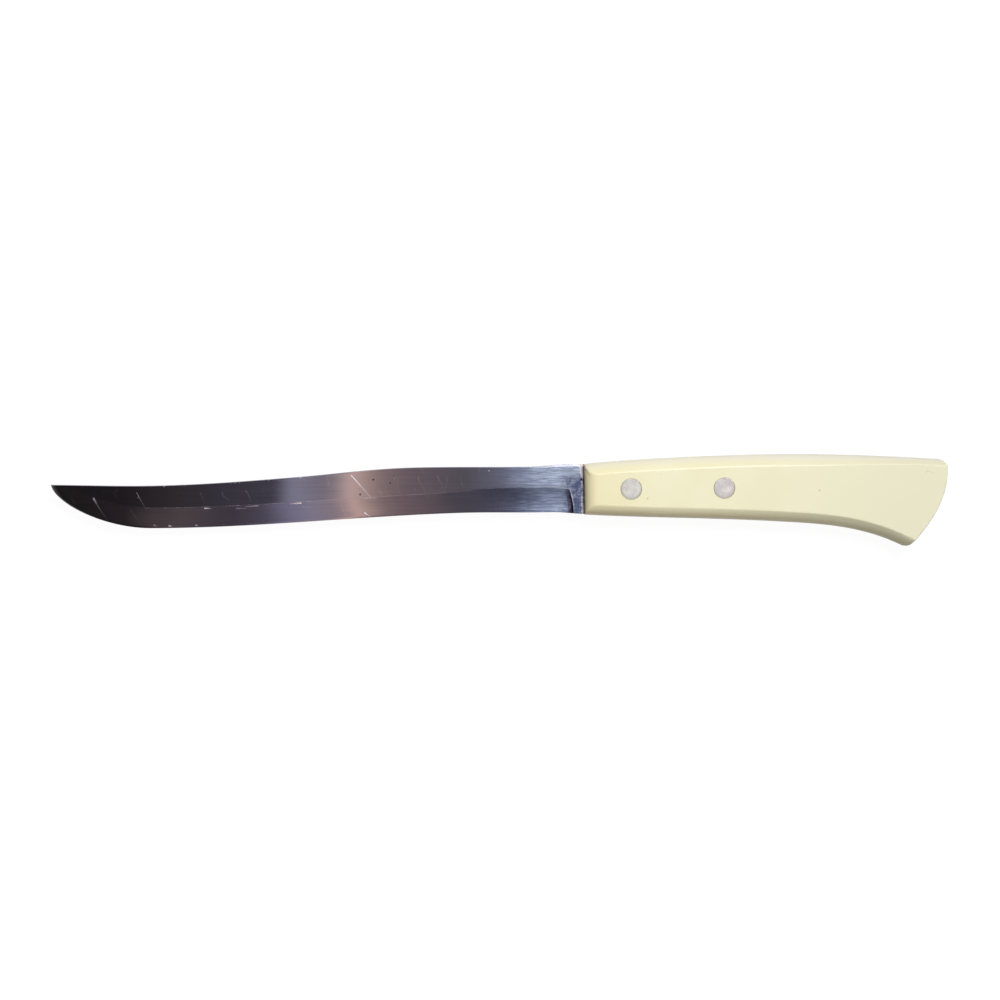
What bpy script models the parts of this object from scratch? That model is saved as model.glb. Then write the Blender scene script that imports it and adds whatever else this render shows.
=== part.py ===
# A carving knife lying on its side, as on a table.
# X runs from the tip to the butt, Y from the cutting edge to the spine, and Z is up.
# Sizes are in metres. An outline gives a distance from the front of the handle, towards the
# tip on the blade and towards the butt on the handle, and a height above the front rivet.

import math

import bmesh
import bpy
from mathutils import Matrix, Vector
from mathutils.geometry import interpolate_bezier

# Clearance between pieces that touch
FIT = 0.0003

# Blade
BLADE_LENGTH = 0.2032
BLADE_THICKNESS = 0.0016
TIP_THICKNESS = 0.0009
TIP_HEIGHT = 0.0017
TIP_BLUNTNESS = 0.0003
TIP_TAPER_LENGTH = 0.060
TIP_THINS_BELOW = 0.006
SPINE_EASING = 0.0002
EDGE_THICKNESS = 0.00016
CUTTING_BEVEL_HEIGHT = 0.0006
CUTTING_BEVEL_THICKNESS = 0.0004

# Belly, where the cutting edge sweeps up to the tip
BELLY_LENGTH = 0.038
BELLY_HEIGHT = -0.0149
BELLY_ROUNDNESS = 0.0175
TIP_ROUNDNESS_BACK = 0.0018
TIP_ROUNDNESS_DOWN = 0.0071

# Hollow grind, the mark that a wheel leaves on each side of the blade
WHEEL_RADIUS = 0.075
GRIND_WIDTH = 0.0077
GRIND_WIDTH_AT_HEEL = 0.0094
GRIND_NARROWS_FROM = 0.028
GRIND_NARROWS_TO = 0.058
GRIND_FADES_FROM_TIP = 0.044
GRIND_FADES_TO_TIP = 0.020
LEAST_FLAT = 0.0004
PLUNGE_DISTANCE = 0.0036
PLUNGE_WIDTH = 0.0014
PLUNGE_LEAN = 0.0018
PLUNGE_LEAN_FADES_BY = 0.030

# Handle
HANDLE_LENGTH = 0.1383
HANDLE_THICKNESS = 0.0150
BUTT_TOP_CORNER_RADIUS = 0.0034
TOE_CORNER_RADIUS = 0.0018
HANDLE_EDGE_ROUNDING = 0.0006
CUT_PAST = 0.0050

# Facets along the edges of the handle
FACET_DEPTH = 0.0040
FACET_TOP_WIDTH = 0.0044
FACET_TOP_WIDTH_AT_BUTT = 0.0024
FACET_TAPERS_FROM = 0.080
FACET_BOTTOM_WIDTH = 0.0038
FACET_FRONT_WIDTH = 0.0046
FACET_EDGE_ROUNDING = 0.0006
FLAT_RING_INSET = 2 * FACET_EDGE_ROUNDING

# Rivets, each a pin half pressed into a tube half
FRONT_RIVET_DISTANCE = 0.0181
REAR_RIVET_DISTANCE = 0.0534
REAR_RIVET_HEIGHT = 0.0004
RIVET_HEAD_DIAMETER = 0.0080
RIVET_HEAD_THICKNESS = 0.0014
RIVET_HEAD_EASING = 0.0002
RIVET_HEAD_RECESS = 0.0001
RIVET_TUBE_DIAMETER = 0.0050
RIVET_TUBE_BORE = 0.0034
RIVET_BORE_FLOOR = 0.0010
RIVET_PIN_LEAD = 0.0004

# Tang, the part of the blade inside the handle
TANG_PAST_REAR_RIVET = 0.0136
TANG_LENGTH = REAR_RIVET_DISTANCE + TANG_PAST_REAR_RIVET
TANG_HEIGHT = 0.0125
TANG_MIDDLE = REAR_RIVET_HEIGHT / 2
TANG_CORNER_RADIUS = 0.0045

# Outlines as (distance, height, slope), with a smooth line through them
SPINE_LINE = (
    (0.0, 0.0095, 0.060),
    (0.022, 0.0086, -0.015),
    (0.068, 0.0082, -0.037),
    (0.110, 0.0046, -0.080),
    (BLADE_LENGTH - 0.031, 0.0013, 0.0),
    (BLADE_LENGTH, TIP_HEIGHT, 0.006),
)
EDGE_LINE = (
    (0.0, -0.0095, 0.051),
    (0.012, -0.0088, -0.024),
    (0.048, -0.0091, -0.034),
    (BLADE_LENGTH - BELLY_LENGTH, BELLY_HEIGHT, 0.0),
)
HANDLE_TOP_LINE = (
    (0.0, 0.0096, 0.110),
    (0.020, 0.0112, 0.062),
    (0.075, 0.01335, 0.010),
    (HANDLE_LENGTH, 0.0113, -0.065),
)
HANDLE_BOTTOM_LINE = (
    (0.0, -0.0097, -0.050),
    (0.075, -0.0123, -0.055),
    (HANDLE_LENGTH - 0.0165, -0.0212, -0.480),
)
# The butt is read the other way round, as (height, distance, slope)
BUTT_LINE = (
    (-0.0210, HANDLE_LENGTH - 0.0138, 0.95),
    (0.0070, HANDLE_LENGTH, 0.0),
)

# How finely curves are divided
STRAIGHT_STATIONS = 30
BELLY_STATIONS = 18
PLUNGE_STATIONS = 5
HOLLOW_ROWS = 9
BLADE_ROWS = HOLLOW_ROWS + 5
SHOULDER_ROWS = 2
HANDLE_STATIONS = 24
BUTT_STATIONS = 16
CORNER_STEPS = 6
EDGE_ROUNDING_ROWS = 4
RIVET_STEPS = 40
SEARCH_STEPS = 40


def clear_scene():
    for old in list(bpy.data.objects):
        bpy.data.objects.remove(old, do_unlink=True)


def new_collection(name):
    collection = bpy.data.collections.new(name)
    bpy.context.scene.collection.children.link(collection)
    return collection


def principled(name, colour, metallic, roughness):
    material = bpy.data.materials.new(name)
    material.use_nodes = True
    shader = material.node_tree.nodes["Principled BSDF"]
    shader.inputs["Base Color"].default_value = (*colour, 1.0)
    shader.inputs["Metallic"].default_value = metallic
    shader.inputs["Roughness"].default_value = roughness
    return material


def polished_steel():
    return principled("polished_steel", (0.42, 0.40, 0.43), 1.0, 0.22)


def cream_plastic():
    return principled("cream_plastic", (0.86, 0.82, 0.58), 0.0, 0.32)


def rivet_alloy():
    return principled("rivet_alloy", (0.66, 0.62, 0.60), 1.0, 0.35)


def smooth_line(knots, distance):
    # A cubic between neighbouring knots, and a straight line past either end
    if distance <= knots[0][0]:
        start, height, slope = knots[0]
        return height + slope * (distance - start)
    for (x0, h0, s0), (x1, h1, s1) in zip(knots, knots[1:]):
        if distance <= x1:
            width = x1 - x0
            t = (distance - x0) / width
            leaving = t * (1 - t) ** 2 * width * s0
            arriving = t * t * (t - 1) * width * s1
            return h0 + (h1 - h0) * t * t * (3 - 2 * t) + leaving + arriving
    end, height, slope = knots[-1]
    return height + slope * (distance - end)


def eased(value, low, high):
    # 0 up to low, 1 from high, and a smooth passage between them
    t = min(1.0, max(0.0, (value - low) / (high - low)))
    return t * t * (3 - 2 * t)


def evenly(first, last, count):
    return [first + (last - first) * i / (count - 1) for i in range(count)]


def rounded_corner(before, corner, after, radius):
    # An arc in the corner's place, tangent to the lines on both sides of it
    to_before = (before - corner).normalized()
    to_after = (after - corner).normalized()
    half_angle = to_before.angle(to_after) / 2
    middle = corner + (to_before + to_after).normalized() * radius / math.sin(half_angle)
    spoke = corner + to_before * radius / math.tan(half_angle) - middle
    side = to_before.x * to_after.y - to_before.y * to_after.x
    sweep = math.copysign(math.pi - 2 * half_angle, -side)
    turns = evenly(0.0, sweep, CORNER_STEPS + 1)
    return [middle + Matrix.Rotation(turn, 2) @ spoke for turn in turns]


def finished_mesh(bm, name):
    bmesh.ops.remove_doubles(bm, verts=bm.verts, dist=1e-7)
    bmesh.ops.recalc_face_normals(bm, faces=bm.faces)
    mesh = bpy.data.meshes.new(name)
    bm.to_mesh(mesh)
    bm.free()
    return mesh


def add_ring(bm, points):
    return [bm.verts.new(point) for point in points]


def add_loft(bm, rings):
    # Faces between neighbouring rings of vertices
    for near, far in zip(rings, rings[1:]):
        for i in range(len(near)):
            bm.faces.new((near[i - 1], near[i], far[i], far[i - 1]))


def plate_mesh(name, outline, thickness):
    # A flat plate with the given outline, centred on its own plane
    curve = bpy.data.curves.new(name, "CURVE")
    curve.dimensions = "2D"
    curve.fill_mode = "BOTH"
    curve.extrude = thickness / 2
    spline = curve.splines.new("POLY")
    spline.points.add(len(outline) - 1)
    for point, (x, y) in zip(spline.points, outline):
        point.co = (x, y, 0.0, 1.0)
    spline.use_cyclic_u = True
    holder = bpy.data.objects.new(name, curve)
    bpy.context.scene.collection.objects.link(holder)
    graph = bpy.context.evaluated_depsgraph_get()
    filled = bpy.data.meshes.new_from_object(holder.evaluated_get(graph))
    bpy.data.objects.remove(holder)
    bpy.data.curves.remove(curve)
    bm = bmesh.new()
    bm.from_mesh(filled)
    bpy.data.meshes.remove(filled)
    return finished_mesh(bm, name)


def add_object(name, mesh, collection, knife, location=(0.0, 0.0, 0.0)):
    piece = bpy.data.objects.new(name, mesh)
    collection.objects.link(piece)
    piece.parent = knife
    piece.location = location
    return piece


def add_cutter(name, mesh, collection, knife, location=(0.0, 0.0, 0.0)):
    cutter = add_object(name, mesh, collection, knife, location)
    cutter.hide_render = True
    cutter.display_type = "WIRE"
    return cutter


def add_boolean(piece, operation, other):
    modifier = piece.modifiers.new(f"{operation.lower()}_{other.name}", "BOOLEAN")
    modifier.operation = operation
    modifier.solver = "EXACT"
    modifier.object = other


def add_turning(piece):
    # Turns a profile about the piece's own Z axis
    screw = piece.modifiers.new("turned", "SCREW")
    screw.axis = "Z"
    screw.steps = RIVET_STEPS
    screw.render_steps = RIVET_STEPS
    screw.use_merge_vertices = True
    screw.merge_threshold = 1e-6


def profile_mesh(name, profile):
    bm = bmesh.new()
    verts = [bm.verts.new((radius, 0.0, height)) for radius, height in profile]
    for upper, lower in zip(verts, verts[1:]):
        bm.edges.new((upper, lower))
    mesh = bpy.data.meshes.new(name)
    bm.to_mesh(mesh)
    bm.free()
    return mesh


def shade(piece, material, sharp_from):
    piece.data.materials.append(material)
    piece.data.shade_smooth()
    piece.data.set_sharp_from_angle(angle=math.radians(sharp_from))


def spine_height(distance):
    return smooth_line(SPINE_LINE, distance)


def edge_stations():
    # (distance, height, slope) along the cutting edge, with stations close together at the plunge
    distances = [PLUNGE_DISTANCE]
    for step in range(1, PLUNGE_STATIONS + 1):
        share = 1 - math.cos(math.pi / 2 * step / PLUNGE_STATIONS)
        distances.append(PLUNGE_DISTANCE + PLUNGE_WIDTH * share)
    belly_start = BLADE_LENGTH - BELLY_LENGTH
    distances += evenly(distances[-1], belly_start, STRAIGHT_STATIONS)[1:]
    points = [Vector((distance, smooth_line(EDGE_LINE, distance))) for distance in distances]
    tip = Vector((BLADE_LENGTH, TIP_HEIGHT - TIP_BLUNTNESS))
    points += interpolate_bezier(
        points[-1],
        points[-1] + Vector((BELLY_ROUNDNESS, 0.0)),
        tip - Vector((TIP_ROUNDNESS_BACK, TIP_ROUNDNESS_DOWN)),
        tip,
        BELLY_STATIONS,
    )[1:]
    stations = []
    for i, point in enumerate(points):
        run = points[min(i + 1, len(points) - 1)] - points[max(i - 1, 0)]
        stations.append((point.x, point.y, run.y / run.x))
    return stations


def half_thickness(distance, height):
    # The blade thins out towards the tip, and again where too little height is left for the grind
    taper = max(0.0, 1 - (BLADE_LENGTH - distance) / TIP_TAPER_LENGTH)
    half = (BLADE_THICKNESS + (TIP_THICKNESS - BLADE_THICKNESS) * taper) / 2
    share = math.sin(math.pi / 2 * min(1.0, height / TIP_THINS_BELOW))
    return EDGE_THICKNESS + (half - EDGE_THICKNESS) * share


def plunge_share(distance):
    # How deep the wheel has gone in: none at the plunge line, then a round run down to full depth
    out = min(1.0, max(0.0, 1 - (distance - PLUNGE_DISTANCE) / PLUNGE_WIDTH))
    return math.sqrt(1 - out * out)


def plunge_lean(distance, share_down):
    # The plunge line leans towards the tip as it climbs from the edge to the grind line
    left = (PLUNGE_LEAN_FADES_BY - distance) / (PLUNGE_LEAN_FADES_BY - PLUNGE_DISTANCE)
    return PLUNGE_LEAN * (1 - share_down) ** 2 * max(0.0, left)


def hollow_depth(distance, share_down, width, drop):
    # A wheel's arc across the grind, which turns into a plain fall near the tip
    arc = drop * share_down + width**2 / (2 * WHEEL_RADIUS) * share_down * (1 - share_down)
    plain = drop * share_down**1.5
    fading = eased(distance, BLADE_LENGTH - GRIND_FADES_FROM_TIP, BLADE_LENGTH - GRIND_FADES_TO_TIP)
    return arc + (plain - arc) * fading


def blade_section(distance, edge, slope):
    # Points down one side, from the spine to the cutting edge
    lean = plunge_lean(distance, 0.0)
    spine = spine_height(distance + lean)
    height = spine - edge
    half = half_thickness(distance, height)
    easing = min(SPINE_EASING, height / 6)
    narrowing = eased(distance, GRIND_NARROWS_FROM, GRIND_NARROWS_TO)
    width = GRIND_WIDTH_AT_HEEL + (GRIND_WIDTH - GRIND_WIDTH_AT_HEEL) * narrowing
    width *= math.sqrt(1 + slope * slope)
    width = min(width, height - easing - min(LEAST_FLAT, height / 6))
    bevel = min(CUTTING_BEVEL_HEIGHT, height / 4)
    depth = plunge_share(distance)
    drop = half - min(CUTTING_BEVEL_THICKNESS / 2, half)
    points = [
        Vector((distance + lean, spine, half - easing)),
        Vector((distance + lean, spine - easing, half)),
        Vector((distance + lean, (spine - easing + edge + width) / 2, half)),
    ]
    for row in range(HOLLOW_ROWS + 1):
        share = row / HOLLOW_ROWS
        along = distance + plunge_lean(distance, share)
        across = edge + width + (bevel - width) * share
        cut = depth * hollow_depth(distance, share, width, drop)
        points.append(Vector((along, across, half - cut)))
    points.append(Vector((distance, edge, half + depth * (EDGE_THICKNESS / 2 - half))))
    return points


def both_sides(side):
    # A ring down the upper side and back up the lower one. The blade lies towards -X of the handle
    upper = [(-point.x, point.y, point.z) for point in side]
    lower = [(-point.x, point.y, -point.z) for point in reversed(side)]
    return upper + lower


def tang_side(distance, half_height):
    # Points down one side of the tang, at a distance into the handle
    rows = evenly(half_height, -half_height, HOLLOW_ROWS)
    return [Vector((-distance, TANG_MIDDLE + row, BLADE_THICKNESS / 2)) for row in rows]


def heel_section():
    # The flat end of the blade, with rows where the tang leaves it
    top, bottom = SPINE_LINE[0][1], EDGE_LINE[0][1]
    half = BLADE_THICKNESS / 2
    tang = tang_side(-FIT, TANG_HEIGHT / 2)
    below = evenly(tang[-1].y, bottom, BLADE_ROWS - SHOULDER_ROWS - HOLLOW_ROWS + 1)
    points = [Vector((FIT, top, half - SPINE_EASING)), Vector((FIT, top - SPINE_EASING, half))]
    return points + tang + [Vector((FIT, height, half)) for height in below[1:]]


def tang_stations():
    # (distance, half height) from the root of the tang along its rounded end
    stations = []
    for turn in evenly(0.0, math.pi / 2, 2 * CORNER_STEPS):
        distance = TANG_LENGTH - TANG_CORNER_RADIUS * (1 - math.sin(turn))
        half_height = TANG_HEIGHT / 2 - TANG_CORNER_RADIUS * (1 - math.cos(turn))
        stations.append((distance, half_height))
    return stations


def rows_of(ring, first, last):
    # The part of a ring between two rows of the section
    return ring[first : last + 1] + ring[len(ring) - 1 - last : len(ring) - first]


def blade_mesh():
    bm = bmesh.new()
    heel = add_ring(bm, both_sides(heel_section()))
    sections = [add_ring(bm, both_sides(blade_section(*station))) for station in edge_stations()]
    add_loft(bm, [heel] + sections)
    bm.faces.new(sections[-1])
    first = SHOULDER_ROWS
    last = first + HOLLOW_ROWS - 1
    bm.faces.new(rows_of(heel, 0, first))
    bm.faces.new(rows_of(heel, last, BLADE_ROWS - 1))
    root = rows_of(heel, first, last)
    tang = [add_ring(bm, both_sides(tang_side(*station))) for station in tang_stations()]
    add_loft(bm, [root] + tang)
    bm.faces.new(tang[-1])
    return finished_mesh(bm, "blade")


def slot_outline():
    # The tang's own outline grown by the clearance, and open towards the blade
    top = TANG_MIDDLE + TANG_HEIGHT / 2 + FIT
    bottom = TANG_MIDDLE - TANG_HEIGHT / 2 - FIT
    end = TANG_LENGTH + FIT
    radius = TANG_CORNER_RADIUS + FIT
    open_top = Vector((-CUT_PAST, top))
    end_top = Vector((end, top))
    end_bottom = Vector((end, bottom))
    open_bottom = Vector((-CUT_PAST, bottom))
    outline = [open_bottom, open_top]
    outline += rounded_corner(open_top, end_top, end_bottom, radius)
    outline += rounded_corner(end_top, end_bottom, open_bottom, radius)
    return outline


def rivet_places():
    return {
        "front_rivet": (FRONT_RIVET_DISTANCE, 0.0, 0.0),
        "rear_rivet": (REAR_RIVET_DISTANCE, REAR_RIVET_HEIGHT, 0.0),
    }


def make_blade(parts, cutters, knife):
    blade = add_object("blade", blade_mesh(), parts, knife)
    for rivet, place in rivet_places().items():
        radius = RIVET_TUBE_DIAMETER / 2 + FIT
        bm = bmesh.new()
        bmesh.ops.create_cone(
            bm,
            cap_ends=True,
            segments=RIVET_STEPS,
            radius1=radius,
            radius2=radius,
            depth=2 * BLADE_THICKNESS,
        )
        hole = add_cutter(f"tang_hole_{rivet}", finished_mesh(bm, "tang_hole"), cutters, knife, place)
        add_boolean(blade, "DIFFERENCE", hole)
    shade(blade, polished_steel(), 6.0)


def top_height(distance):
    return smooth_line(HANDLE_TOP_LINE, distance)


def bottom_height(distance):
    return smooth_line(HANDLE_BOTTOM_LINE, distance)


def butt_point(height, inset=0.0):
    return Vector((smooth_line(BUTT_LINE, height) - inset, height))


def crossing(height_at, inset=0.0):
    # Where a line along the handle meets the butt, or the butt moved inwards
    inside = HANDLE_LENGTH / 2
    outside = HANDLE_LENGTH + FIT
    for _ in range(SEARCH_STEPS):
        middle = (inside + outside) / 2
        if middle < butt_point(height_at(middle), inset).x:
            inside = middle
        else:
            outside = middle
    return Vector((inside, height_at(inside)))


def line_points(height_at, first, last, count):
    return [Vector((distance, height_at(distance))) for distance in evenly(first, last, count)]


def handle_outline():
    # Round the handle: up the front, along the top, down the butt and back along the bottom
    front_top = Vector((0.0, top_height(0.0)))
    front_bottom = Vector((0.0, bottom_height(0.0)))
    top_corner = crossing(top_height)
    toe = crossing(bottom_height)
    near_top = 2 * BUTT_TOP_CORNER_RADIUS
    near_toe = 2 * TOE_CORNER_RADIUS
    top = line_points(top_height, FACET_FRONT_WIDTH, top_corner.x - near_top, HANDLE_STATIONS)
    bottom = line_points(bottom_height, toe.x - near_toe, FACET_FRONT_WIDTH, HANDLE_STATIONS)
    butt = [butt_point(h) for h in evenly(top_corner.y - near_top, toe.y + near_toe, BUTT_STATIONS)]
    outline = rounded_corner(front_bottom, front_top, top[0], HANDLE_EDGE_ROUNDING)
    outline += top
    outline += rounded_corner(top[-1], top_corner, butt[0], BUTT_TOP_CORNER_RADIUS)
    outline += butt
    outline += rounded_corner(butt[-1], toe, bottom[0], TOE_CORNER_RADIUS)
    outline += bottom
    outline += rounded_corner(bottom[-1], front_bottom, front_top, HANDLE_EDGE_ROUNDING)
    return outline


def top_facet_width(distance):
    taper = eased(distance, FACET_TAPERS_FROM, HANDLE_LENGTH)
    return FACET_TOP_WIDTH + (FACET_TOP_WIDTH_AT_BUTT - FACET_TOP_WIDTH) * taper


def flat_top(distance):
    return top_height(distance) - top_facet_width(distance)


def flat_bottom(distance):
    return bottom_height(distance) + FACET_BOTTOM_WIDTH


def side_level(point):
    # Half of the handle's thickness at a point seen from above, on the flat or on a facet
    falls = (
        (point.y - flat_top(point.x)) * FACET_DEPTH / top_facet_width(point.x),
        (flat_bottom(point.x) - point.y) * FACET_DEPTH / FACET_BOTTOM_WIDTH,
        (FACET_FRONT_WIDTH - point.x) * FACET_DEPTH / FACET_FRONT_WIDTH,
    )
    fallen = 0.0
    for fall in falls:
        overlap = max(0.0, FACET_EDGE_ROUNDING - abs(fallen - fall))
        fallen = max(fallen, fall) + overlap**2 / (4 * FACET_EDGE_ROUNDING)
    return HANDLE_THICKNESS / 2 - fallen


def flat_ring(outline):
    # For each point of the outline, the nearest point of the flat clear of the rounded edges
    def highest(distance):
        return flat_top(distance) - FLAT_RING_INSET

    def lowest(distance):
        return flat_bottom(distance) + FLAT_RING_INSET

    top_end = crossing(highest, FLAT_RING_INSET).y
    bottom_end = crossing(lowest, FLAT_RING_INSET).y
    ring = []
    for point in outline:
        butt = butt_point(min(top_end, max(bottom_end, point.y)), FLAT_RING_INSET)
        distance = max(FACET_FRONT_WIDTH + FLAT_RING_INSET, min(butt.x, point.x))
        ring.append(Vector((distance, min(highest(distance), max(lowest(distance), point.y)))))
    return ring


def side_profile(outer, inner):
    # Points from the outline inwards, over the rounded edge and across a facet to the flat
    length = (inner - outer).length
    steps = []
    for turn in evenly(0.0, math.pi / 2, EDGE_ROUNDING_ROWS):
        inwards = HANDLE_EDGE_ROUNDING * (1 - math.cos(turn))
        steps.append((inwards, HANDLE_EDGE_ROUNDING * (1 - math.sin(turn))))
    for reach in (-FACET_EDGE_ROUNDING, 0.0, FACET_EDGE_ROUNDING):
        steps.append((max(HANDLE_EDGE_ROUNDING, length - FLAT_RING_INSET + reach), 0.0))
    steps.append((length, 0.0))
    profile = []
    for inwards, drop in steps:
        point = outer.lerp(inner, inwards / length)
        profile.append(Vector((point.x, point.y, side_level(point) - drop)))
    return profile


def handle_mesh():
    # Rings from the lower flat out to the wall, up it and in to the upper flat
    outline = handle_outline()
    profiles = [side_profile(*points) for points in zip(outline, flat_ring(outline))]
    upper = [list(ring) for ring in zip(*profiles)]
    lower = [[Vector((p.x, p.y, -p.z)) for p in ring] for ring in reversed(upper)]
    bm = bmesh.new()
    rings = [add_ring(bm, ring) for ring in lower + upper]
    add_loft(bm, rings)
    bm.faces.new(rings[0])
    bm.faces.new(rings[-1])
    return finished_mesh(bm, "handle")


def make_handle(parts, cutters, knife):
    handle = add_object("handle", handle_mesh(), parts, knife)
    slot_mesh = plate_mesh("slot", slot_outline(), BLADE_THICKNESS + 2 * FIT)
    add_boolean(handle, "DIFFERENCE", add_cutter("slot", slot_mesh, cutters, knife))
    for rivet, place in rivet_places().items():
        well = add_cutter(
            f"handle_hole_{rivet}", profile_mesh("handle_hole", hole_profile()), cutters, knife, place
        )
        add_turning(well)
        add_boolean(handle, "DIFFERENCE", well)
    shade(handle, cream_plastic(), 40.0)
    normals = handle.modifiers.new("flat_faces_stay_flat", "WEIGHTED_NORMAL")
    normals.keep_sharp = True


def head_top():
    return HANDLE_THICKNESS / 2 - RIVET_HEAD_RECESS


def head_under():
    return head_top() - RIVET_HEAD_THICKNESS


def hole_profile():
    # A hole through the handle for the tube, with a counterbore for the head at each end
    head = RIVET_HEAD_DIAMETER / 2 + FIT
    tube = RIVET_TUBE_DIAMETER / 2 + FIT
    seat = head_under() - FIT
    outside = HANDLE_THICKNESS / 2 + CUT_PAST
    return (
        (0.0, outside),
        (head, outside),
        (head, seat),
        (tube, seat),
        (tube, -seat),
        (head, -seat),
        (head, -outside),
        (0.0, -outside),
    )


def tube_profile():
    # The half whose head shows underneath, with a blind bore open at its upper end
    head = RIVET_HEAD_DIAMETER / 2
    tube = RIVET_TUBE_DIAMETER / 2
    bore = RIVET_TUBE_BORE / 2
    end = head_under() - FIT
    floor = RIVET_BORE_FLOOR - head_under()
    return (
        (0.0, floor),
        (bore, floor),
        (bore, end),
        (tube, end),
        (tube, -head_under()),
        (head, -head_under()),
        (head, RIVET_HEAD_EASING - head_top()),
        (head - RIVET_HEAD_EASING, -head_top()),
        (0.0, -head_top()),
    )


def pin_profile():
    # The half whose head shows on top, with a pin that fills the bore of the tube
    head = RIVET_HEAD_DIAMETER / 2
    pin = RIVET_TUBE_BORE / 2 - FIT
    end = RIVET_BORE_FLOOR - head_under() + FIT
    return (
        (0.0, head_top()),
        (head - RIVET_HEAD_EASING, head_top()),
        (head, head_top() - RIVET_HEAD_EASING),
        (head, head_under()),
        (pin, head_under()),
        (pin, end + RIVET_PIN_LEAD),
        (pin - RIVET_PIN_LEAD, end),
        (0.0, end),
    )


def make_rivets(parts, knife):
    alloy = rivet_alloy()
    for rivet, place in rivet_places().items():
        for half, profile in (("tube", tube_profile()), ("pin", pin_profile())):
            name = f"{rivet}_{half}"
            piece = add_object(name, profile_mesh(name, profile), parts, knife, place)
            add_turning(piece)
            shade(piece, alloy, 30.0)


def make_knife():
    parts = new_collection("carving_knife")
    cutters = new_collection("cutters")
    heights = [point.y for point in handle_outline()]
    knife = bpy.data.objects.new("knife", None)
    parts.objects.link(knife)
    knife.location = (
        (BLADE_LENGTH - HANDLE_LENGTH) / 2,
        -(max(heights) + min(heights)) / 2,
        HANDLE_THICKNESS / 2,
    )
    make_blade(parts, cutters, knife)
    make_handle(parts, cutters, knife)
    make_rivets(parts, knife)


clear_scene()
make_knife()
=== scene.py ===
import math

import bmesh
import bpy
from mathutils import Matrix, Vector


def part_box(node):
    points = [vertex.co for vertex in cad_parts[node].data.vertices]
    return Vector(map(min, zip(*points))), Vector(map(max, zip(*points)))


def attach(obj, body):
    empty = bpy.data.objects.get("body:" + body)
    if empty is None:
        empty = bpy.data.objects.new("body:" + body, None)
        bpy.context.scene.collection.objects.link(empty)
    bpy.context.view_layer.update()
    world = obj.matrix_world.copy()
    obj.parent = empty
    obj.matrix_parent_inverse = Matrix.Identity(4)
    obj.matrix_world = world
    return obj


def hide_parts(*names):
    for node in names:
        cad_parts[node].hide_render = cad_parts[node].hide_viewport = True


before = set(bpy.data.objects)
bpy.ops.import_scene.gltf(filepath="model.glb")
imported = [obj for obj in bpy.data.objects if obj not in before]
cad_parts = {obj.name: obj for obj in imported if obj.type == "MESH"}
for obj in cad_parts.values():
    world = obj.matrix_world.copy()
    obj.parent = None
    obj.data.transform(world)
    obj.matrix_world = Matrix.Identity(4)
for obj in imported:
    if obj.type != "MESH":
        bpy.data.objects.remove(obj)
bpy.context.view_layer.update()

mm = 0.001

# the places that every piece is set out from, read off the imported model
handleLow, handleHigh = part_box("handle")
rivetLow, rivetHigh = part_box("front_rivet_pin")
handleFront = handleLow.x
rivetLine = (rivetLow.y + rivetHigh.y) / 2
middle = (handleLow.z + handleHigh.z) / 2
print("frame loaded:", sorted(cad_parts))


# helpers for setting out meshes

def smoothLine(knots, distance):
    # a cubic through (distance, height, slope) knots, straight past both ends
    if distance <= knots[0][0]:
        return knots[0][1] + knots[0][2] * (distance - knots[0][0])
    for (x0, h0, s0), (x1, h1, s1) in zip(knots, knots[1:]):
        if distance <= x1:
            width = x1 - x0
            t = (distance - x0) / width
            bend = t * (1 - t) ** 2 * width * s0 + t * t * (t - 1) * width * s1
            return h0 + (h1 - h0) * t * t * (3 - 2 * t) + bend
    return knots[-1][1] + knots[-1][2] * (distance - knots[-1][0])


def clamp(value):
    return min(1.0, max(0.0, value))


def ease(value, low, high):
    t = clamp((value - low) / (high - low))
    return t * t * (3 - 2 * t)


def spread(first, last, count):
    return [first + (last - first) * i / (count - 1) for i in range(count)]


def follow(start, *runs):
    # places on from the start; a run is the place it ends at and how many steps it takes
    places = []
    for end, steps in runs:
        places += spread(start, end, steps + 1)[1:]
        start = end
    return places


def selectOnly(piece):
    bpy.ops.object.select_all(action="DESELECT")
    bpy.context.view_layer.objects.active = piece
    piece.select_set(True)


def layGrid(name, sections, maskNames):
    # a grid primitive laid on the sections; a corner is x, y, z and a value for each mask
    bpy.ops.object.select_all(action="DESELECT")
    bpy.ops.mesh.primitive_grid_add(
        x_subdivisions=len(sections[0]) - 1,
        y_subdivisions=len(sections) - 1,
        size=1.0,
        location=(0, 0, middle),
    )
    piece = bpy.context.object
    piece.name = name
    piece.data.name = name
    corners = [corner for section in sections for corner in section]
    piece.data.vertices.foreach_set("co", [number for corner in corners for number in corner[:3]])
    piece.data.update()
    for place, maskName in enumerate(maskNames, 3):
        mask = piece.data.attributes.new(maskName, "FLOAT", "POINT")
        mask.data.foreach_set("value", [corner[place] for corner in corners])
    return piece


def pick(piece, kind, wanted):
    # in edit mode: select the edges or faces for which wanted holds, and nothing else
    bpy.ops.mesh.select_mode(type=kind)
    bpy.ops.mesh.select_all(action="DESELECT")
    bm = bmesh.from_edit_mesh(piece.data)
    for part in bm.edges if kind == "EDGE" else bm.faces:
        if wanted(part):
            part.select_set(True)
    bmesh.update_edit_mesh(piece.data)


def weld():
    # in edit mode: join the corners that meet and turn all the faces outwards
    bpy.ops.mesh.select_all(action="SELECT")
    bpy.ops.mesh.remove_doubles(threshold=0.002 * mm)
    bpy.ops.mesh.normals_make_consistent(inside=False)


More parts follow.
